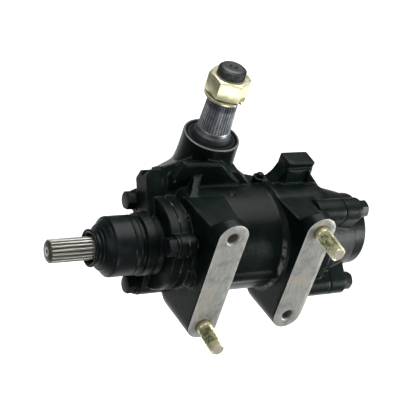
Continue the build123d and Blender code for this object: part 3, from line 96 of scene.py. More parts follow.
# %% The class for shader sums
class Value:
    """One socket of a node tree that can be used in sums."""

    def __init__(self, tree, socket=None):
        self.tree, self.socket = tree, socket

    def node(self, kind, settings=None, inputs=None, output=0):
        """Adds a node with its settings, then the values or links of its sockets, and gives one output."""
        made = self.tree.nodes.new(kind)
        for name, value in (settings or {}).items():
            setattr(made, name, value)
        for name, value in (inputs or {}).items():
            if isinstance(value, Value):
                self.tree.links.new(value.socket, made.inputs[name])
            else:
                made.inputs[name].default_value = value
        return Value(self.tree, made.outputs[output] if made.outputs else None)

    def math(self, operation, first, second=0.0):
        """A Math node on one or two values or numbers."""
        return self.node("ShaderNodeMath", {"operation": operation}, {0: first, 1: second})

    def __add__(self, other):
        return self.math("ADD", self, other)

    def __sub__(self, other):
        return self.math("SUBTRACT", self, other)

    def __rsub__(self, other):
        return self.math("SUBTRACT", other, self)

    def __mul__(self, other):
        return self.math("MULTIPLY", self, other)

    def __truediv__(self, other):
        return self.math("DIVIDE", self, other)

    def __rtruediv__(self, other):
        return self.math("DIVIDE", other, self)

    __radd__ = __add__
    __rmul__ = __mul__

    def unsigned(self):
        """The value without its minus sign."""
        return self.math("ABSOLUTE", self)

    def root(self):
        """The square root."""
        return self.math("SQRT", self)

    def or_else(self, other):
        """The larger of two masks, so that either is enough."""
        return self.math("MAXIMUM", self, other)

    def along(self, axis):
        """One coordinate of a place: X, Y or Z."""
        return self.node("ShaderNodeSeparateXYZ", None, {0: self}, axis)

    def radius_about(self, axis, first, second):
        """Distance from a line along one axis, given where the line crosses the other two."""
        one, two = [other for other in "XYZ" if other != axis]
        across, up = self.along(one) - first, self.along(two) - second
        return (across * across + up * up).root()

    def ramp(self, low, high):
        """A soft edged mask: 0 below low and 1 above high. With low above high it runs the other way."""
        if low > high:
            return 1 - self.ramp(high, low)
        return self.node("ShaderNodeMapRange", {"interpolation_type": "SMOOTHSTEP"},
                         {0: self, 1: low, 2: high})

    def between(self, low, full, last, high):
        """A soft edged band: it rises from low to full, stays 1 up to last and is gone at high."""
        return self.ramp(low, full) * self.ramp(high, last)

    def grain(self, width, detail=3.0, stretch=(1, 1, 1)):
        """Cloudy grain from 0 to 1, in spots about width metres across and longer along a stretched axis."""
        spread = self.node("ShaderNodeVectorMath", {"operation": "DIVIDE"},
                           {0: self, 1: [width * s for s in stretch]})
        return spread.node("ShaderNodeTexNoise", None,
                           {"Vector": spread, "Scale": 1.0, "Detail": detail, "Roughness": 0.6})

    def mix(self, low, high):
        """A colour between two others, with this value as the share of the second."""
        return self.node("ShaderNodeMix", {"data_type": "RGBA"}, {0: self, 6: low, 7: high}, 2)

    def into(self, shader, name):
        """Links this value to a socket of the finish's shader."""
        self.tree.links.new(self.socket, shader.inputs[name])

    def bump_into(self, shader, height):
        """Uses this value as relief, height metres deep."""
        bump = self.node("ShaderNodeBump", None, {"Strength": 1.0, "Distance": height, "Height": self})
        bump.into(shader, "Normal")


def colour(red, green, blue):
    """A colour as a screen counts it, from 0 to 255, turned into the light it stands for."""
    shares = [level / 255 for level in (red, green, blue)]
    return [((share + 0.055) / 1.055) ** 2.4 if share > 0.04 else share / 12.92 for share in shares] + [1.0]


def start_finish(name, **settings):
    """A new finish: its material, its shader, and the place on the piece."""
    finish = bpy.data.materials.new(name)
    finish.use_nodes = True
    shader = finish.node_tree.nodes["Principled BSDF"]
    for label, value in settings.items():
        shader.inputs[label.replace("_", " ")].default_value = value
    return finish, shader, Value(finish.node_tree).node("ShaderNodeTexCoord", output="Object")


print("the sums work, and middle grey is", round(colour(128, 128, 128)[0], 3), "of white's light")

# %% [markdown]
# ## Where the iron shows
# The housing is sprayed before its bearing faces are machined, so some faces are bare: the bracket pads, the
# threads of their holes and the rim of the sector boss. Handling has done the same, more thinly, along the
# joint flange and at the cylinder's step. Painting these by hand would need an unwrapped mesh. A mask made
# from the place itself needs none: the pads lie on the plane Y = 0, and the rim is the top of the boss.


# %% Masks for the bare faces
def bare_pads(place):
    """Where the bracket pads have been milled."""
    return place.along("Y").ramp(0.45 * MM, 0.15 * MM)


def bare_boss_rim(place):
    """The outer edge of the sector boss, where the paint has been turned away."""
    top = place.along("Z").ramp(BOSS_RIM_Z - 0.6 * MM, BOSS_RIM_Z - 0.2 * MM)
    return top * place.radius_about("Z", SECTOR_X, SECTOR_Y).ramp(24.6 * MM, 25.2 * MM)


def chipped_joint(place):
    """Thin broken lines where the paint has cracked off both edges of the joint flange."""
    lines = 0.0
    for edge in (JOINT_FACE_X, FLANGE_BACK_X):
        off = (place.along("X") - edge).unsigned()
        lines = off.between(0.12 * MM, 0.22 * MM, 0.5 * MM, 0.9 * MM) + lines
    broken = place.grain(12 * MM, 5).ramp(0.55, 0.62) * 0.4
    return lines * broken * place.radius_about("X", WORM_Y, 0.0).ramp(40 * MM, 41 * MM)


def worn_step(place):
    """A rubbed line down the front of the cylinder, where it steps up to its wide end."""
    across = place.along("X").between(STEP_X - 2.4 * MM, STEP_X - 1.2 * MM,
                                      STEP_X + 0.6 * MM, STEP_X + 1.8 * MM)
    front = place.along("Y").ramp(24 * MM, 20 * MM) * place.along("Z").ramp(30 * MM, 20 * MM)
    rubbed = place.grain(7 * MM, 5).ramp(0.4, 0.56) * 0.3
    outside = place.radius_about("X", WORM_Y, 0.0).ramp(BARREL_R - 0.6 * MM, BARREL_R + 0.6 * MM)
    return across * front * rubbed * outside


def near_holes(place, radius):
    """Within a radius of one of the four holes in the pads."""
    near = 0.0
    for x, _, z in PAD_HOLES:
        near = place.radius_about("Y", x, z).ramp(radius, radius - 0.2 * MM) + near
    return near


def bare_bolt_holes(place):
    """The four holes in the pads, whose threads and mouths are cut after painting."""
    threads = place.along("Y").ramp(13.6 * MM, 13.2 * MM) * near_holes(place, 6.9 * MM)
    mouths = place.along("Y").ramp(1.5 * MM, 1.3 * MM) * near_holes(place, 7.8 * MM)
    return threads.or_else(mouths)


def pad_edge_highlight(place):
    """The outer edges of the pads, lightened as a painted highlight where their rounded edges would catch light.
    """
    edge = place.along("Y").between(0.04 * MM, 0.16 * MM, 0.4 * MM, 0.5 * MM)
    return edge * (1 - near_holes(place, 9.5 * MM))


HOUSING_BARE = [bare_pads, bare_bolt_holes, bare_boss_rim, chipped_joint, worn_step]
print("kinds of bare face on the housing:", len(HOUSING_BARE))

# %% [markdown]
# ## Black paint on iron
# The paint is semi-gloss and a little green, and it carries the orange peel of the spray and the sand grain
# of the mould. The bare faces are grey steel with cutter marks, rust stains and dark specks. Two shaders
# blended by a mask would give the same look for twice the nodes, so one shader takes mixed inputs.


# %% The painted casting finish
def milled_steel(place):
    """Grey steel with the long marks of a cutter, and those marks alone."""
    cutter = place.grain(1.2 * MM, 3, (1, 1, 9))
    stain = place.grain(16 * MM, 4)
    rust, oil = stain.ramp(0.54, 0.7), stain.ramp(0.52, 0.34)
    specks = place.grain(2.2 * MM, 4).ramp(0.36, 0.3)
    on_boss = place.along("Z").ramp(66 * MM, 72 * MM)
    steel = cutter.ramp(0.25, 0.75).mix(colour(138, 139, 134), colour(166, 167, 162))
    steel = (specks * 0.6).mix(steel, colour(78, 80, 80))
    steel = (rust * 0.45).mix(steel, colour(176, 160, 134))
    steel = (oil * 0.45).mix(steel, colour(100, 101, 99))
    # A painted highlight: the outer edges of the pads are lightened towards near-white.
    steel = (pad_edge_highlight(place) * 0.7).mix(steel, colour(205, 205, 200))
    steel = (on_boss * 0.6).mix(steel, colour(52, 54, 54))
    return steel, cutter


def painted_casting(name, bare_faces):
    """Black paint over the grain of the casting, with bare steel wherever one of the masks says so."""
    finish, shader, place = start_finish(name, Specular_IOR_Level=0.1, Coat_Weight=0.02, Coat_Roughness=0.12)
    drift = place.grain(28 * MM, 2)
    sand = place.grain(1.5 * MM, 4)
    peel = place.grain(5 * MM, 2)
    dust = sand.ramp(0.62, 0.75) * drift.ramp(0.45, 0.6)
    paint = drift.ramp(0.35, 0.65).mix(colour(5, 12, 10), colour(12, 22, 20))
    paint = (dust * 0.2).mix(paint, colour(70, 84, 82))
    roughness = 0.26 + drift * 0.14 + dust * 0.1
    relief = sand * 0.6 + peel * 0.4
    metal = 0.0
    steel, cutter = milled_steel(place)
    for mask in bare_faces:
        bare = mask(place)
        paint = bare.mix(paint, steel)
        roughness = roughness + bare * (0.46 + cutter * 0.12 - roughness)
        relief = relief + bare * (cutter * 0.1 - relief)
        metal = bare * 0.55 + metal
    paint.into(shader, "Base Color")
    roughness.into(shader, "Roughness")
    metal.into(shader, "Metallic")
    relief.bump_into(shader, 0.42 * MM)
    return finish


housing_paint = painted_casting("housing_paint", HOUSING_BARE)
cover_paint = painted_casting("cover_paint", [chipped_joint])
print("paint:", housing_paint.name, cover_paint.name)

# %% [markdown]
# ## Bolts, plating and machined steel
# The bolts were painted with the housing and a spanner has since marked them. The big nut, its spring
# washer and the two studs are zinc plated: pale yellow, with green and brown smudges left by the dip and by
# fingers. The two shafts are ground steel whose grain runs round or along them. Each finish below mixes one
# broad stain with one fine grain, because that is what makes metal look handled and not poured.


# %% Paint and plating of the fasteners
def painted_bolts():
    """Black paint that a spanner has rubbed through to the metal."""
    finish, shader, place = start_finish("bolt_paint", Specular_IOR_Level=0.14, Coat_Weight=0.03,
                                         Coat_Roughness=0.2)
    wear = place.grain(2.4 * MM, 5)
    marks = wear.ramp(0.6, 0.72)
    (marks * 0.5).mix(colour(8, 14, 14), colour(60, 70, 70)).into(shader, "Base Color")
    (0.34 + wear * 0.2).into(shader, "Roughness")
    (marks * 0.3).into(shader, "Metallic")
    (wear * 0.5 + place.grain(0.6 * MM) * 0.5).bump_into(shader, 0.1 * MM)
    return finish


def stained_stud(plate, place):
    """The plating of a stud: green along its middle, brown by the pad, and a painted highlight that lightens its
    tip to cream.
    """
    length = place.along("Y")
    green = length.between(STUD_TIP_Y + 6 * MM, STUD_TIP_Y + 9 * MM, -9 * MM, -5 * MM)
    plate = (green * place.grain(3 * MM, 3).ramp(0.42, 0.55) * 0.85).mix(plate, colour(92, 100, 66))
    plate = (length.ramp(-5 * MM, 0.0) * 0.75).mix(plate, colour(128, 96, 58))
    # A painted highlight: the last few millimetres of the tip are lightened to cream.
    tip = length.ramp(STUD_TIP_Y + 2.6 * MM, STUD_TIP_Y + 0.4 * MM)
    return (tip * 0.85).mix(plate, colour(250, 240, 222))


def yellow_zinc(name, smudge, stain=None):
    """Zinc plating; smudge is how green it is in places, and stain may add marks that have a set place."""
    finish, shader, place = start_finish(name, Metallic=0.85)
    cloud = place.grain(6 * MM, 5)
    fine = place.grain(0.7 * MM, 3)
    plate = cloud.ramp(0.35, 0.65).mix(colour(200, 197, 160), colour(220, 217, 182))
    plate = (cloud.ramp(0.42, 0.3) * smudge).mix(plate, colour(104, 110, 66))
    if stain:
        plate = stain(plate, place)
    plate.into(shader, "Base Color")
    (0.2 + cloud * 0.16 + fine * 0.08).into(shader, "Roughness")
    (cloud * 0.3 + fine * 0.7).bump_into(shader, 0.05 * MM)
    return finish


bolt_paint = painted_bolts()
nut_zinc = yellow_zinc("nut_zinc", 0.14)
washer_zinc = yellow_zinc("washer_zinc", 0.35)
stud_zinc = yellow_zinc("stud_zinc", 0.55, stained_stud)
print("fasteners:", bolt_paint.name, nut_zinc.name, washer_zinc.name, stud_zinc.name)

# %% [markdown]
# Both shafts are darkened in their grooves as painted shade and left bright on their crests. A mask by
# radius finds the grooves, because whatever lies well below the crest is inside one. The sector shaft is
# tapered, so its mask compares each place with a crest that shrinks along the shaft.


# %% Steel of the two shafts
def sector_steel():
    """Grey steel of the sector shaft, with painted shade darkening its grooves, its journal by the boss and the
    band under the washer.
    """
    finish, shader, place = start_finish("sector_shaft_steel", Metallic=0.8)
    height = place.along("Z")
    turned = place.grain(0.5 * MM, 3, (6, 6, 1))
    cloud = place.grain(7 * MM, 3)
    taper_foot, crest_at_foot, taper = 89 * MM, 15.4 * MM, 1.45 / 32.5
    crest = crest_at_foot - (height - taper_foot) * taper
    # Painted shade: the grooves between the teeth are darkened.
    groove_shade = (crest - place.radius_about("Z", SECTOR_X, SECTOR_Y)).ramp(0.25 * MM, 0.7 * MM)
    toothed = height.between(taper_foot - 1 * MM, taper_foot, 121 * MM, 122 * MM)
    # Painted shade: the journal by the boss and the band under the washer are darkened.
    journal = height.ramp(taper_foot - 0.4 * MM, taper_foot - 1.4 * MM)
    under_washer = height.between(111 * MM, 114 * MM, 121.5 * MM, 123 * MM)
    blackened_end = height.ramp(NUT_TOP_Z - 2 * MM, NUT_TOP_Z)
    steel = cloud.ramp(0.35, 0.65).mix(colour(142, 147, 151), colour(176, 181, 184))
    steel = (groove_shade * toothed * 0.6).mix(steel, colour(70, 74, 80))
    steel = (journal * 0.8).mix(steel, colour(52, 54, 56))
    steel = (under_washer * 0.75).mix(steel, colour(64, 67, 80))
    steel = (blackened_end * 0.92).mix(steel, colour(40, 41, 39))
    steel.into(shader, "Base Color")
    (0.3 + cloud * 0.16 + turned * 0.1).into(shader, "Roughness")
    (turned * 0.6 + cloud * 0.4).bump_into(shader, 0.05 * MM)
    return finish


def input_steel():
    """Warm bright steel of the input shaft, with painted shade in its grooves and on its end face, and on the end
    a painted highlight ring round a dark spot of painted shade for a drilled centre.
    """
    finish, shader, place = start_finish("input_shaft_steel", Metallic=0.85)
    radius = place.radius_about("X", WORM_Y, 0.0)
    drawn = place.grain(0.5 * MM, 3, (12, 1, 1))
    # Painted shade: the grooves are darkened.
    groove_shade = radius.between(8.8 * MM, 9.3 * MM, 9.5 * MM, 10.2 * MM)
    # Painted shade on the end face, with a painted highlight ring and a painted-shade spot for a drilled centre
    # that has no shape.
    end_face = place.along("X").ramp(SHAFT_TIP_X + 1.5 * MM, SHAFT_TIP_X + 0.5 * MM)
    end_highlight = end_face * radius.ramp(4.6 * MM, 4.0 * MM)
    centre_hole_shade = end_face * radius.ramp(2.2 * MM, 1.8 * MM)
    steel = drawn.ramp(0.3, 0.7).mix(colour(126, 124, 118), colour(168, 166, 160))
    steel = (groove_shade * 0.85).mix(steel, colour(52, 47, 41))
    steel = (end_face * 0.8).mix(steel, colour(84, 80, 74))
    steel = end_highlight.mix(steel, colour(222, 220, 214))
    steel = centre_hole_shade.mix(steel, colour(40, 38, 36))
    steel.into(shader, "Base Color")
    (0.28 + drawn * 0.2).into(shader, "Roughness")
    drawn.bump_into(shader, 0.04 * MM)
    return finish


sector_shaft_steel = sector_steel()
input_shaft_steel = input_steel()
print("shafts:", sector_shaft_steel.name, input_shaft_steel.name)

# %% [markdown]
# What lies inside the housing is seen only when the gear is taken apart. It still gets a real finish, but one
# short recipe is enough for all of it, with its own tone, sheen and width of grain for each metal.


# %% Metals inside the gear
def plain_metal(name, low, high, roughness, grain_width, stretch=(1, 1, 1)):
    """A machined metal with one grain, for the pieces inside the gear."""
    finish, shader, place = start_finish(name, Metallic=0.9)
    grain = place.grain(grain_width, 4, stretch)
    cloud = place.grain(12 * grain_width, 3)
    (grain * 0.6 + cloud * 0.4).ramp(0.35, 0.65).mix(low, high).into(shader, "Base Color")
    (roughness + cloud * 0.12).into(shader, "Roughness")
    grain.bump_into(shader, 0.03 * MM)
    return finish


machined_steel = plain_metal("machined_steel", colour(140, 140, 138), colour(182, 182, 178), 0.3, 0.6 * MM)
worm_steel = plain_metal("worm_steel", colour(110, 110, 112), colour(150, 150, 152), 0.24, 0.5 * MM,
                         (1, 5, 5))
bearing_steel = plain_metal("bearing_steel", colour(190, 190, 192), colour(214, 214, 216), 0.12, 0.4 * MM)
plug_aluminium = plain_metal("plug_aluminium", colour(176, 178, 180), colour(204, 206, 208), 0.3, 0.5 * MM)
print("inside:", machined_steel.name, worm_steel.name, bearing_steel.name, plug_aluminium.name)

# %% [markdown]
# ## Rubber and seal plastic
# The boot is moulded rubber. It is satin, nearly black with a cold tint, and a faint bloom of dust lies in
# patches. Its mould marks are far finer than the casting's sand, so the relief is less than a tenth as
# deep. The seals and the piston ring share the same recipe with another colour.


# %% Soft finishes
def moulded(name, low, high, roughness):
    """Rubber or plastic from a mould, with a patchy bloom and very fine mould marks."""
    finish, shader, place = start_finish(name, Specular_IOR_Level=0.12, Coat_Weight=0.03, Coat_Roughness=0.3)
    bloom = place.grain(11 * MM, 4)
    mould = place.grain(0.45 * MM, 2)
    bloom.ramp(0.4, 0.7).mix(low, high).into(shader, "Base Color")
    (roughness + bloom * 0.16).into(shader, "Roughness")
    mould.bump_into(shader, 0.025 * MM)
    return finish


boot_rubber = moulded("boot_rubber", colour(8, 13, 13), colour(17, 25, 25), 0.3)
seal_rubber = moulded("seal_rubber", colour(18, 22, 22), colour(30, 36, 36), 0.34)
seal_plastic = moulded("seal_plastic", colour(60, 88, 78), colour(92, 118, 106), 0.4)
print("moulded:", boot_rubber.name, seal_rubber.name, seal_plastic.name)

# %% [markdown]
# ## Every solid gets its finish
# The model's record names a material slot for each solid. Most solids take the finish of their slot. A few
# that the eye knows well, such as the shafts and the studs, have a finish of their own.

# %% Finishes on the solids
FINISH_OF = {
    "black_paint": cover_paint, "bolt_steel": bolt_paint, "machined_steel": machined_steel,
    "zinc_plate": nut_zinc, "black_rubber": seal_rubber, "bearing_steel": bearing_steel,
    "hard_steel": worm_steel, "seal_plastic": seal_plastic, "aluminium_cover": plug_aluminium,
}
OWN_FINISH = {
    "main_housing": housing_paint, "mounting_studs": stud_zinc, "sector_shaft": sector_shaft_steel,
    "input_stub_shaft": input_shaft_steel, "input_dust_boot": boot_rubber, "gallery_plug": bolt_paint,
}
slot_of = {part["node"]: part["material_slot"] for part in frame["record"]["subparts"]}
finish_of = {node: OWN_FINISH.get(node, FINISH_OF[slot]) for node, slot in slot_of.items()}
for node, finish in finish_of.items():
    for place_for_finish in solids[node].material_slots:
        place_for_finish.material = finish
print("finishes on the solids:", len(finish_of))

# %% [markdown]
# ## From a mesh to a piece
# A piece that replaces a solid starts as a copy of it whose loose triangles are joined. Modifiers then soften
# it, but a piece has to be a plain mesh before it is given to a body. So each modifier runs on a passing
# object whose result is kept, and only that mesh becomes a piece with a body, a slot and a finish.


# %% Helpers for every piece
@contextmanager
def opened(mesh):
    """Opens a mesh so that its points and faces can be changed, and writes the changes back."""
    shape = bmesh.new()
    shape.from_mesh(mesh)
    yield shape
    shape.to_mesh(mesh)
    shape.free()


def merged_copy(node):
    """A solid's mesh as a new one, with its loose triangles joined."""
    shape = bmesh.new()
    shape.from_mesh(solids[node].data)
    bmesh.ops.remove_doubles(shape, verts=shape.verts, dist=0.001 * MM)
    mesh = bpy.data.meshes.new(node + "_shape")
    shape.to_mesh(mesh)
    shape.free()
    return mesh


def held(name, mesh):
    """A mesh on a passing object, which can take a modifier."""
    holder = bpy.data.objects.new(name + "_holder", mesh)
    bpy.context.scene.collection.objects.link(holder)
    return holder


def settled(holder):
    """The plain mesh of a passing object once its modifiers are worked out; the object goes."""
    graph = bpy.context.evaluated_depsgraph_get()
    mesh = bpy.data.meshes.new_from_object(holder.evaluated_get(graph))
    bpy.data.objects.remove(holder)
    return mesh


def smooth_but(mesh, corner):
    """Shades a mesh smooth, and leaves every corner of more than so many degrees sharp."""
    mesh.shade_smooth()
    mesh.set_sharp_from_angle(angle=math.radians(corner))


def new_piece(name, mesh, finish, body, node=None):
    """Puts a finished mesh in the scene as a piece that rides on a body, for a solid if one is named."""
    piece = bpy.data.objects.new(name, mesh)
    bpy.context.scene.collection.objects.link(piece)
    mesh.materials.clear()
    mesh.materials.append(finish)
    if node:
        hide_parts(node)
    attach(piece, body)
    print(name, len(mesh.polygons), "faces")


# %% [markdown]
# ## Soft edges for the castings
# Iron poured into sand has no sharp corner: every inner corner is filled and every outer one is rounded. A
# bevel on the CAD mesh would break where many faces meet. So the casting is copied, wrapped in a fine voxel
# skin and smoothed, which rounds it evenly. Then each point that still lies close to the CAD surface is put
# back on it, so that pads, bores and bolt faces stay true, and only the corners keep their new softness.


# %% The casting maker
SMOOTHING_ROUNDS = 5
TRUE_WITHIN, FREE_BEYOND = 0.25 * MM, 0.5 * MM


def wrapped(name, mesh, voxel):
    """A mesh wrapped in an even skin and smoothed."""
    holder = held(name, mesh)
    wrap = holder.modifiers.new("wrap", "REMESH")
    wrap.mode, wrap.voxel_size = "VOXEL", voxel
    ease = holder.modifiers.new("ease", "SMOOTH")
    ease.factor, ease.iterations = 0.5, SMOOTHING_ROUNDS
    return settled(holder)


def put_back(soft, sharp):
    """Moves the points of a soft mesh on to a sharp one where the two still lie close together."""
    surface = BVHTree.FromPolygons([v.co for v in sharp.vertices], [p.vertices for p in sharp.polygons])
    points = np.empty(len(soft.vertices) * 3)
    soft.vertices.foreach_get("co", points)
    points = points.reshape(-1, 3)
    for index, point in enumerate(points):
        nearest, _, _, gap = surface.find_nearest(point)
        pull = min(max((FREE_BEYOND - gap) / (FREE_BEYOND - TRUE_WITHIN), 0.0), 1.0)
        points[index] += pull * (np.array(nearest) - point)
    soft.vertices.foreach_set("co", points.ravel())
    soft.update()


def cast_skin(node, voxel, most_faces):
    """The mesh of a casting with softened corners, true wherever it is machined."""
    sharp = merged_copy(node)
    soft = wrapped(node, sharp, voxel)
    put_back(soft, sharp)
    triangles = len(soft.polygons) * 2
    if triangles > most_faces:
        holder = held(node, soft)
        holder.modifiers.new("thin", "DECIMATE").ratio = most_faces / triangles
        soft = settled(holder)
    soft.shade_smooth()
    return soft


# %% [markdown]
# The main housing is by far the largest casting, so it gets the most faces. The valve housing and the two
# covers are cast the same way and only differ in how fine their skin is.

# %% Soften the four castings
COARSER_FOR_A_TEST = 1.0
CASTINGS = {
    "main_housing": ("housing_casting", 0.95 * MM, 185000),
    "valve_housing": ("valve_casting", 0.7 * MM, 120000),
    "end_cover": ("end_cover_casting", 0.8 * MM, 80000),
    "side_cover": ("side_cover_casting", 0.8 * MM, 70000),
}
for node, (name, voxel, most_faces) in CASTINGS.items():
    skin = cast_skin(node, voxel * COARSER_FOR_A_TEST, most_faces)
    new_piece(name, skin, finish_of[node], "housing", node)

# %% [markdown]
# ## Bolts, nut and washer
# A forged bolt head or a cut nut has sharp corners that are only just broken. A narrow bevel does that, on a
# copy whose flat faces have been joined first so that the bevel meets real edges and no triangle seams.
# The big nut is also turned a little, to the place where a spanner left it in the photograph.

# %% Break the corners
CORNER_BREAK = 0.35 * MM
NUT_TURN = 21.5


def bevelled(name, mesh, width, least_angle):
    """A mesh with a narrow round on its corners, its broad faces kept flat to the eye."""
    holder = held(name, mesh)
    edge = holder.modifiers.new("edge", "BEVEL")
    edge.width, edge.segments = width, 2
    edge.limit_method, edge.angle_limit = "ANGLE", math.radians(least_angle)
    mesh = settled(holder)
    smooth_but(mesh, 40)
    return mesh


def broken_corners(node, name, body, turned=0.0):
    """A copy of a solid with its corners just broken, turned by some degrees about the sector axis."""
    mesh = merged_copy(node)
    with opened(mesh) as shape:
        bmesh.ops.rotate(shape, verts=shape.verts, cent=(SECTOR_X, SECTOR_Y, 0),
                         matrix=Matrix.Rotation(math.radians(turned), 3, "Z"))
        bmesh.ops.dissolve_limit(shape, angle_limit=math.radians(1), verts=shape.verts, edges=shape.edges)
    mesh = bevelled(name, mesh, CORNER_BREAK, 28)
    new_piece(name, mesh, finish_of[node], body, node)


for node, name in (("valve_housing_bolts", "valve_bolts"), ("end_cover_bolts", "cover_bolts"),
                   ("side_cover_bolts", "side_bolts"), ("lash_lock_nut", "lash_nut"),
                   ("bleeder_plug", "bleeder")):
    broken_corners(node, name, "housing")
broken_corners("sector_nut", "drop_arm_nut", "sector", NUT_TURN)

# %% [markdown]
# The washer under the nut is a spring: a bar of square steel wound once round, cut, and left with one end
# higher than the other. It has not been squeezed flat here, so a dark gap shows between it and the nut.

# %% The split washer
washer_low, washer_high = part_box("spring_washer")
WASHER_FOOT, WASHER_TOP = washer_low.z + 0.05 * MM, washer_high.z - 0.1 * MM
WASHER_INSIDE, WASHER_OUTSIDE, WASHER_BAR = 12.9 * MM, 18.9 * MM, 2.6 * MM
WASHER_CUT, HALF_GAP = 286, 9


def wound_bar(stops=120):
    """A square bar wound once round the sector axis from its cut, falling from the top to the foot."""
    corners, faces = [], []
    fall = WASHER_TOP - WASHER_BAR - WASHER_FOOT
    section = [(WASHER_INSIDE, 0), (WASHER_OUTSIDE, 0),
               (WASHER_OUTSIDE, WASHER_BAR), (WASHER_INSIDE, WASHER_BAR)]
    for stop in range(stops + 1):
        share = stop / stops
        turn = math.radians(WASHER_CUT + HALF_GAP + share * (360 - 2 * HALF_GAP))
        for radius, rise in section:
            corners.append((SECTOR_X + radius * math.cos(turn), SECTOR_Y + radius * math.sin(turn),
                            WASHER_TOP - WASHER_BAR - share * fall + rise))
    for low in range(0, 4 * stops, 4):
        faces += [(low + i, low + (i + 1) % 4, low + 4 + (i + 1) % 4, low + 4 + i) for i in range(4)]
    ends = [(3, 2, 1, 0), tuple(4 * stops + i for i in range(4))]
    mesh = bpy.data.meshes.new("split_washer")
    mesh.from_pydata(corners, [], faces + ends)
    with opened(mesh) as shape:
        bmesh.ops.recalc_face_normals(shape, faces=shape.faces)
    return mesh


split_washer = bevelled("split_washer", wound_bar(), 0.3 * MM, 40)
new_piece("split_washer", split_washer, washer_zinc, "sector", "spring_washer")

# %% [markdown]
# ## The input shaft
# Its straight grooves are rolled along the whole length that sticks out of the boot, and its end is turned to
# a chamfer so that the joint slides on. The solid's grooves stop short of the boot, so a copy draws their end
# wall back under the collar, and a cut close to the tip gives the chamfer its edge.

# %% Long grooves and a chamfered tip
GROOVE_END, UNDER_COLLAR = -111.5 * MM, -98.5 * MM
CHAMFER, RIM_FROM = 1.4 * MM, 8 * MM
input_shaft = merged_copy("input_stub_shaft")
with opened(input_shaft) as shape:
    bmesh.ops.bisect_plane(shape, geom=shape.verts[:] + shape.edges[:] + shape.faces[:], dist=1e-7,
                           plane_co=(SHAFT_TIP_X + CHAMFER, 0, 0), plane_no=(1, 0, 0))
    for corner in shape.verts:
        out = Vector((0, corner.co.y - WORM_Y, corner.co.z))
        if abs(corner.co.x - GROOVE_END) < 0.2 * MM:
            corner.co.x = UNDER_COLLAR
        if abs(corner.co.x - SHAFT_TIP_X) < 0.1 * MM and out.length > RIM_FROM:
            corner.co -= out.normalized() * CHAMFER
smooth_but(input_shaft, 25)
new_piece("input_shaft", input_shaft, input_shaft_steel, "input",
          "input_stub_shaft")

# %% [markdown]
# ## Cut threads
# A thread is one groove wound round a rod. Here it is the ridge that is wound: a diamond shaped section
# follows a spiral, and a plain rod fills the middle. Geometry Nodes suit this, because one spiral with named
# inputs makes the thread of a 14 mm stud or of the much thicker sector shaft, and the same thread is set at
# every place where the casting has a stud.


# %% The thread tree
def thread_tree():
    """The tree that winds a thread. Its inputs are the sizes of one, which is set at each of the places."""
    tree = bpy.data.node_groups.new("wound_thread", "GeometryNodeTree")
    wanted = {"Places": "Geometry", "Crest radius": "Float", "Root radius": "Float", "Pitch": "Float",
              "Length": "Float", "Direction": "Vector", "Finish": "Material"}
    for label, kind in wanted.items():
        tree.interface.new_socket(label, in_out="INPUT", socket_type="NodeSocket" + kind)
    tree.interface.new_socket("Threads", in_out="OUTPUT", socket_type="NodeSocketGeometry")

    start = Value(tree).node("NodeGroupInput")
    given = [Value(tree, socket) for socket in start.socket.node.outputs[:len(wanted)]]
    places, crest, root, pitch, length, direction, finish = given
    spiral = start.node("GeometryNodeCurveSpiral", None, {
        "Resolution": 40, "Rotations": length / pitch, "Start Radius": root, "End Radius": root,
        "Height": length})
    upright = start.node("GeometryNodeSetCurveNormal", {"mode": "Z_UP"}, {"Curve": spiral})
    section = start.node("GeometryNodeCurvePrimitiveCircle", None, {"Resolution": 4, "Radius": crest - root})
    ridge = start.node("GeometryNodeCurveToMesh", None, {
        "Curve": upright, "Profile Curve": section, "Fill Caps": True})
    way = start.node("FunctionNodeAlignRotationToVector", {"axis": "Z"}, {"Vector": direction})
    ridges = start.node("GeometryNodeInstanceOnPoints", None, {
        "Points": places, "Instance": ridge, "Rotation": way})
    real = start.node("GeometryNodeRealizeInstances", None, {0: ridges})
    coated = start.node("GeometryNodeSetMaterial", None, {"Geometry": real, "Material": finish})
    start.node("NodeGroupOutput", None, {0: coated})
    return tree


THREAD = thread_tree()
print("thread tree:", len(THREAD.nodes), "nodes")

# %% [markdown]
# The tree makes only the ridges. A mesh of nothing but points tells it where they start, and its sizes are
# set on the modifier by each input's identifier, because a modifier doesn't know the inputs by name.


# %% Winding a thread
def wound_threads(name, places, body, inputs):
    """Thread ridges that start at each place, as one piece. Inputs holds the tree's inputs by their names."""
    mesh = bpy.data.meshes.new(name)
    mesh.from_pydata(places, [], [])
    holder = held(name, mesh)
    wind = holder.modifiers.new("wind", "NODES")
    wind.node_group = THREAD
    for socket in THREAD.interface.items_tree:
        if socket.name in inputs:
            wind[socket.identifier] = inputs[socket.name]
    mesh = settled(holder)
    smooth_but(mesh, 30)
    new_piece(name, mesh, inputs["Finish"], body)


# %% [markdown]
# ## Turned shapes
# Studs, rods and the boot are all turned about a line, so one small lathe makes them: it takes an outline of
# stations and radii, and swings it round the line. An outline that starts and ends at radius 0 closes itself.


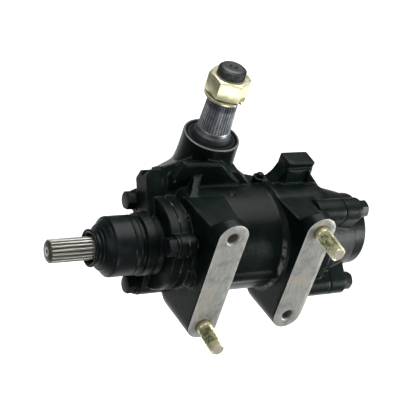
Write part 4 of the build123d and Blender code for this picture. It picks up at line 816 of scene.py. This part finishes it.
# %% The lathe
def lathe(name, outline, foot, along, steps=96):
    """A mesh turned about a line: outline holds (station, radius) in mm, foot and along place the line."""
    along = Vector(along).normalized()
    side = along.orthogonal().normalized()
    third = along.cross(side)
    corners, faces, rings = [], [], []
    for station, radius in outline:
        centre = Vector(foot) + along * (station * MM)
        if radius == 0:
            rings.append([len(corners)])
            corners.append(centre)
            continue
        rings.append(range(len(corners), len(corners) + steps))
        for k in range(steps):
            turn = 2 * math.pi * k / steps
            corners.append(centre + (side * math.cos(turn) + third * math.sin(turn)) * (radius * MM))
    closed = rings if outline[0][1] == 0 else rings + [rings[0]]
    for low, high in zip(closed, closed[1:]):
        for k in range(steps):
            after = (k + 1) % steps
            face = [low[k % len(low)], low[after % len(low)], high[after % len(high)], high[k % len(high)]]
            faces.append([c for i, c in enumerate(face) if c not in face[:i]])
    mesh = bpy.data.meshes.new(name)
    mesh.from_pydata(corners, [], faces)
    with opened(mesh) as shape:
        bmesh.ops.recalc_face_normals(shape, faces=shape.faces)
    mesh.shade_smooth()
    return mesh


def joined(name, meshes):
    """Several meshes as one."""
    whole = bpy.data.meshes.new(name)
    with opened(whole) as shape:
        for mesh in meshes:
            shape.from_mesh(mesh)
    return whole


# %% [markdown]
# The studs are M14 by 1.5. Each has a plain shank by the pad, 26 mm of thread, and a turned point so that it
# finds its hole. The sector shaft's thread has the same pitch, and a little of it shows above the nut.

# %% Studs and the sector thread
STUD_OUTLINE = [(-12.9, 0), (-12.9, 6.2), (0, 6.2), (0, 7.0), (4.2, 7.0), (5.4, 6.2), (31.3, 6.2),
                (32.5, 5.2), (32.5, 0)]
SHANK_LENGTH = 5.2 * MM
shanks = [lathe("shank", STUD_OUTLINE, (x, 0, z), (0, -1, 0)) for x, _, z in STUDS]
stud_shanks = joined("stud_shanks", shanks)
smooth_but(stud_shanks, 30)
new_piece("stud_shanks", stud_shanks, stud_zinc, "housing", "mounting_studs")
wound_threads("stud_threads", [(x, -SHANK_LENGTH, z) for x, _, z in STUDS], "housing", {
    "Crest radius": 6.95 * MM, "Root radius": 6.2 * MM, "Pitch": 1.5 * MM, "Length": 26.2 * MM,
    "Direction": (0, -1, 0), "Finish": stud_zinc})
wound_threads("sector_thread", [(SECTOR_X, SECTOR_Y, NUT_TOP_Z + 0.5 * MM)], "sector", {
    "Crest radius": 12.85 * MM, "Root radius": 12.35 * MM, "Pitch": 1.5 * MM, "Length": 6.6 * MM,
    "Direction": (0, 0, 1), "Finish": sector_shaft_steel})

# %% [markdown]
# ## The rubber boot
# The boot keeps road dirt out of the input seal. It is one moulding: a thin collar that grips the shaft, a
# valley, a rolled shoulder with two raised rings, and a long skirt with a bead that snaps over the valve
# housing's neck. Stations along its line were read from the photo, and its inside follows its outside so that
# the open collar shows a real wall. They count from the sector shaft, the easiest mark to measure from.

# %% The boot
BOOT_OUTSIDE = [
    (-125.2, 15.3), (-125.4, 16.2), (-125.0, 16.9), (-124.0, 17.0), (-123.1, 16.2), (-122.2, 15.0),
    (-120.6, 14.6), (-119.4, 14.8), (-118.6, 15.4), (-118.4, 16.0), (-118.5, 16.9), (-118.1, 17.5),
    (-117.3, 17.6), (-116.7, 17.9), (-116.3, 18.6), (-116.5, 19.6), (-116.2, 20.4), (-115.2, 20.8),
    (-114.2, 21.6), (-113.2, 22.9), (-112.0, 23.9), (-110.9, 24.5), (-110.2, 24.9), (-109.9, 25.6),
    (-109.7, 26.5), (-109.0, 27.0), (-107.8, 27.2), (-104.6, 27.2), (-98.0, 27.2), (-92.0, 27.2),
    (-90.2, 27.2), (-89.6, 26.4), (-88.9, 26.2), (-88.3, 27.0), (-86.6, 27.2), (-84.9, 27.1),
    (-84.2, 26.6), (-84.0, 26.0),
]
BOOT_INSIDE = [
    (-84.0, 25.0), (-105.0, 25.0), (-109.5, 24.0), (-113.0, 21.0), (-115.5, 17.0), (-117.0, 13.2),
    (-119.0, 12.6), (-123.0, 12.8), (-124.6, 13.6),
]
dust_boot = lathe("dust_boot", BOOT_OUTSIDE + BOOT_INSIDE, (SECTOR_X, WORM_Y, 0), (1, 0, 0), 160)
new_piece("dust_boot", dust_boot, boot_rubber, "housing", "input_dust_boot")

# %% [markdown]
# ## Studio and camera
# The photograph was taken on white paper with broad, soft light. The paper here is one flat sheet well below
# the gear, so that no hard shadow falls on it. It covers only what the camera sees, because from another
# side a wider one would show as a grey patch.

# %% Paper
scene = bpy.context.scene
PAPER_LEFT, PAPER_RIGHT, PAPER_NEAR, PAPER_FAR, PAPER_Z = -0.3, 1.35, -0.12, 1.3, -0.35
paper = bpy.data.meshes.new("paper")
paper.from_pydata([(PAPER_LEFT, PAPER_NEAR, PAPER_Z), (PAPER_RIGHT, PAPER_NEAR, PAPER_Z),
                   (PAPER_RIGHT, PAPER_FAR, PAPER_Z), (PAPER_LEFT, PAPER_FAR, PAPER_Z)], [], [(0, 1, 2, 3)])
floor = bpy.data.objects.new("paper_floor", paper)
scene.collection.objects.link(floor)
white, paper_shader, spot = start_finish("white_paper", Roughness=0.9)
spot.grain(2 * MM, 2).mix(colour(240, 240, 240), colour(246, 246, 246)).into(paper_shader, "Base Color")
paper.materials.append(white)
print("paper at Z", PAPER_Z)

# %% [markdown]
# Black paint shows nothing but reflections, so each panel is placed for one of them. The key panel stands low
# on the right, where the castings' sides shine and the cylinder keeps no wide glare. A small panel in front
# makes the near-white face of the nut, another on the right draws bright edges, a weak one fills the left,
# and one overhead lights the paper.


# %% Panels and air
def panel(name, place, aim, width, height, power):
    """A soft white light that faces a point."""
    lamp = bpy.data.lights.new(name, "AREA")
    lamp.shape, lamp.size, lamp.size_y, lamp.energy = "RECTANGLE", width, height, power
    stand = bpy.data.objects.new(name, lamp)
    stand.location = place
    stand.rotation_euler = (Vector(aim) - Vector(place)).to_track_quat("-Z", "Y").to_euler()
    scene.collection.objects.link(stand)


MIDDLE, NUT_FACE = (0.03, 0.06, 0.03), (SECTOR_X, SECTOR_Y, 0.13)
panel("key_panel", (1.25, -0.8, 0.2), MIDDLE, 0.5, 0.5, 20)
panel("fill_panel", (-1.2, -0.3, 0.5), MIDDLE, 0.8, 0.8, 4)
panel("top_panel", (0.3, 0.5, 1.7), (0.3, 0.5, 0.0), 2.0, 2.0, 70)
panel("nut_panel", (-0.12, -0.64, -0.27), NUT_FACE, 0.42, 0.30, 2.2)
panel("edge_panel", (0.74, -0.30, -0.10), (0.05, 0.06, 0.0), 0.30, 0.40, 1.6)

# The air is dim where it lights the gear and white where the camera looks straight at it.
DIM_AIR, WHITER_TO_CAMERA = 0.16, 0.9
sky = bpy.data.worlds.new("studio_air")
sky.use_nodes = True
air = sky.node_tree.nodes["Background"]
air.inputs["Color"].default_value = (1, 1, 1, 1)
seen = Value(sky.node_tree).node("ShaderNodeLightPath", output="Is Camera Ray")
(DIM_AIR + seen * WHITER_TO_CAMERA).into(air, "Strength")
scene.world = sky
print("lights:", [lamp.name for lamp in bpy.data.lights])

# %% [markdown]
# The camera stands where a fit to the photograph put it. Its turn is given by the three directions that it
# calls right, up and back, since these are what such a fit finds.

# %% The camera
CAMERA_PLACE = (-0.5302, -0.6651, 0.6391)
CAMERA_RIGHT = (0.8665, -0.4231, 0.2649)
CAMERA_UP = (0.0576, 0.6120, 0.7888)
CAMERA_BACK = (-0.4959, -0.6682, 0.5546)
LENS_MM, SENSOR_MM = 104.54, 36
lens = bpy.data.cameras.new("camera")
lens.lens, lens.sensor_width = LENS_MM, SENSOR_MM
camera = bpy.data.objects.new("camera", lens)
turn = Matrix((CAMERA_RIGHT, CAMERA_UP, CAMERA_BACK)).transposed()
camera.matrix_world = Matrix.Translation(CAMERA_PLACE) @ turn.to_4x4()
scene.collection.objects.link(camera)
scene.camera = camera
scene.view_settings.view_transform = "Standard"
print("camera at", tuple(round(v, 3) for v in camera.location))
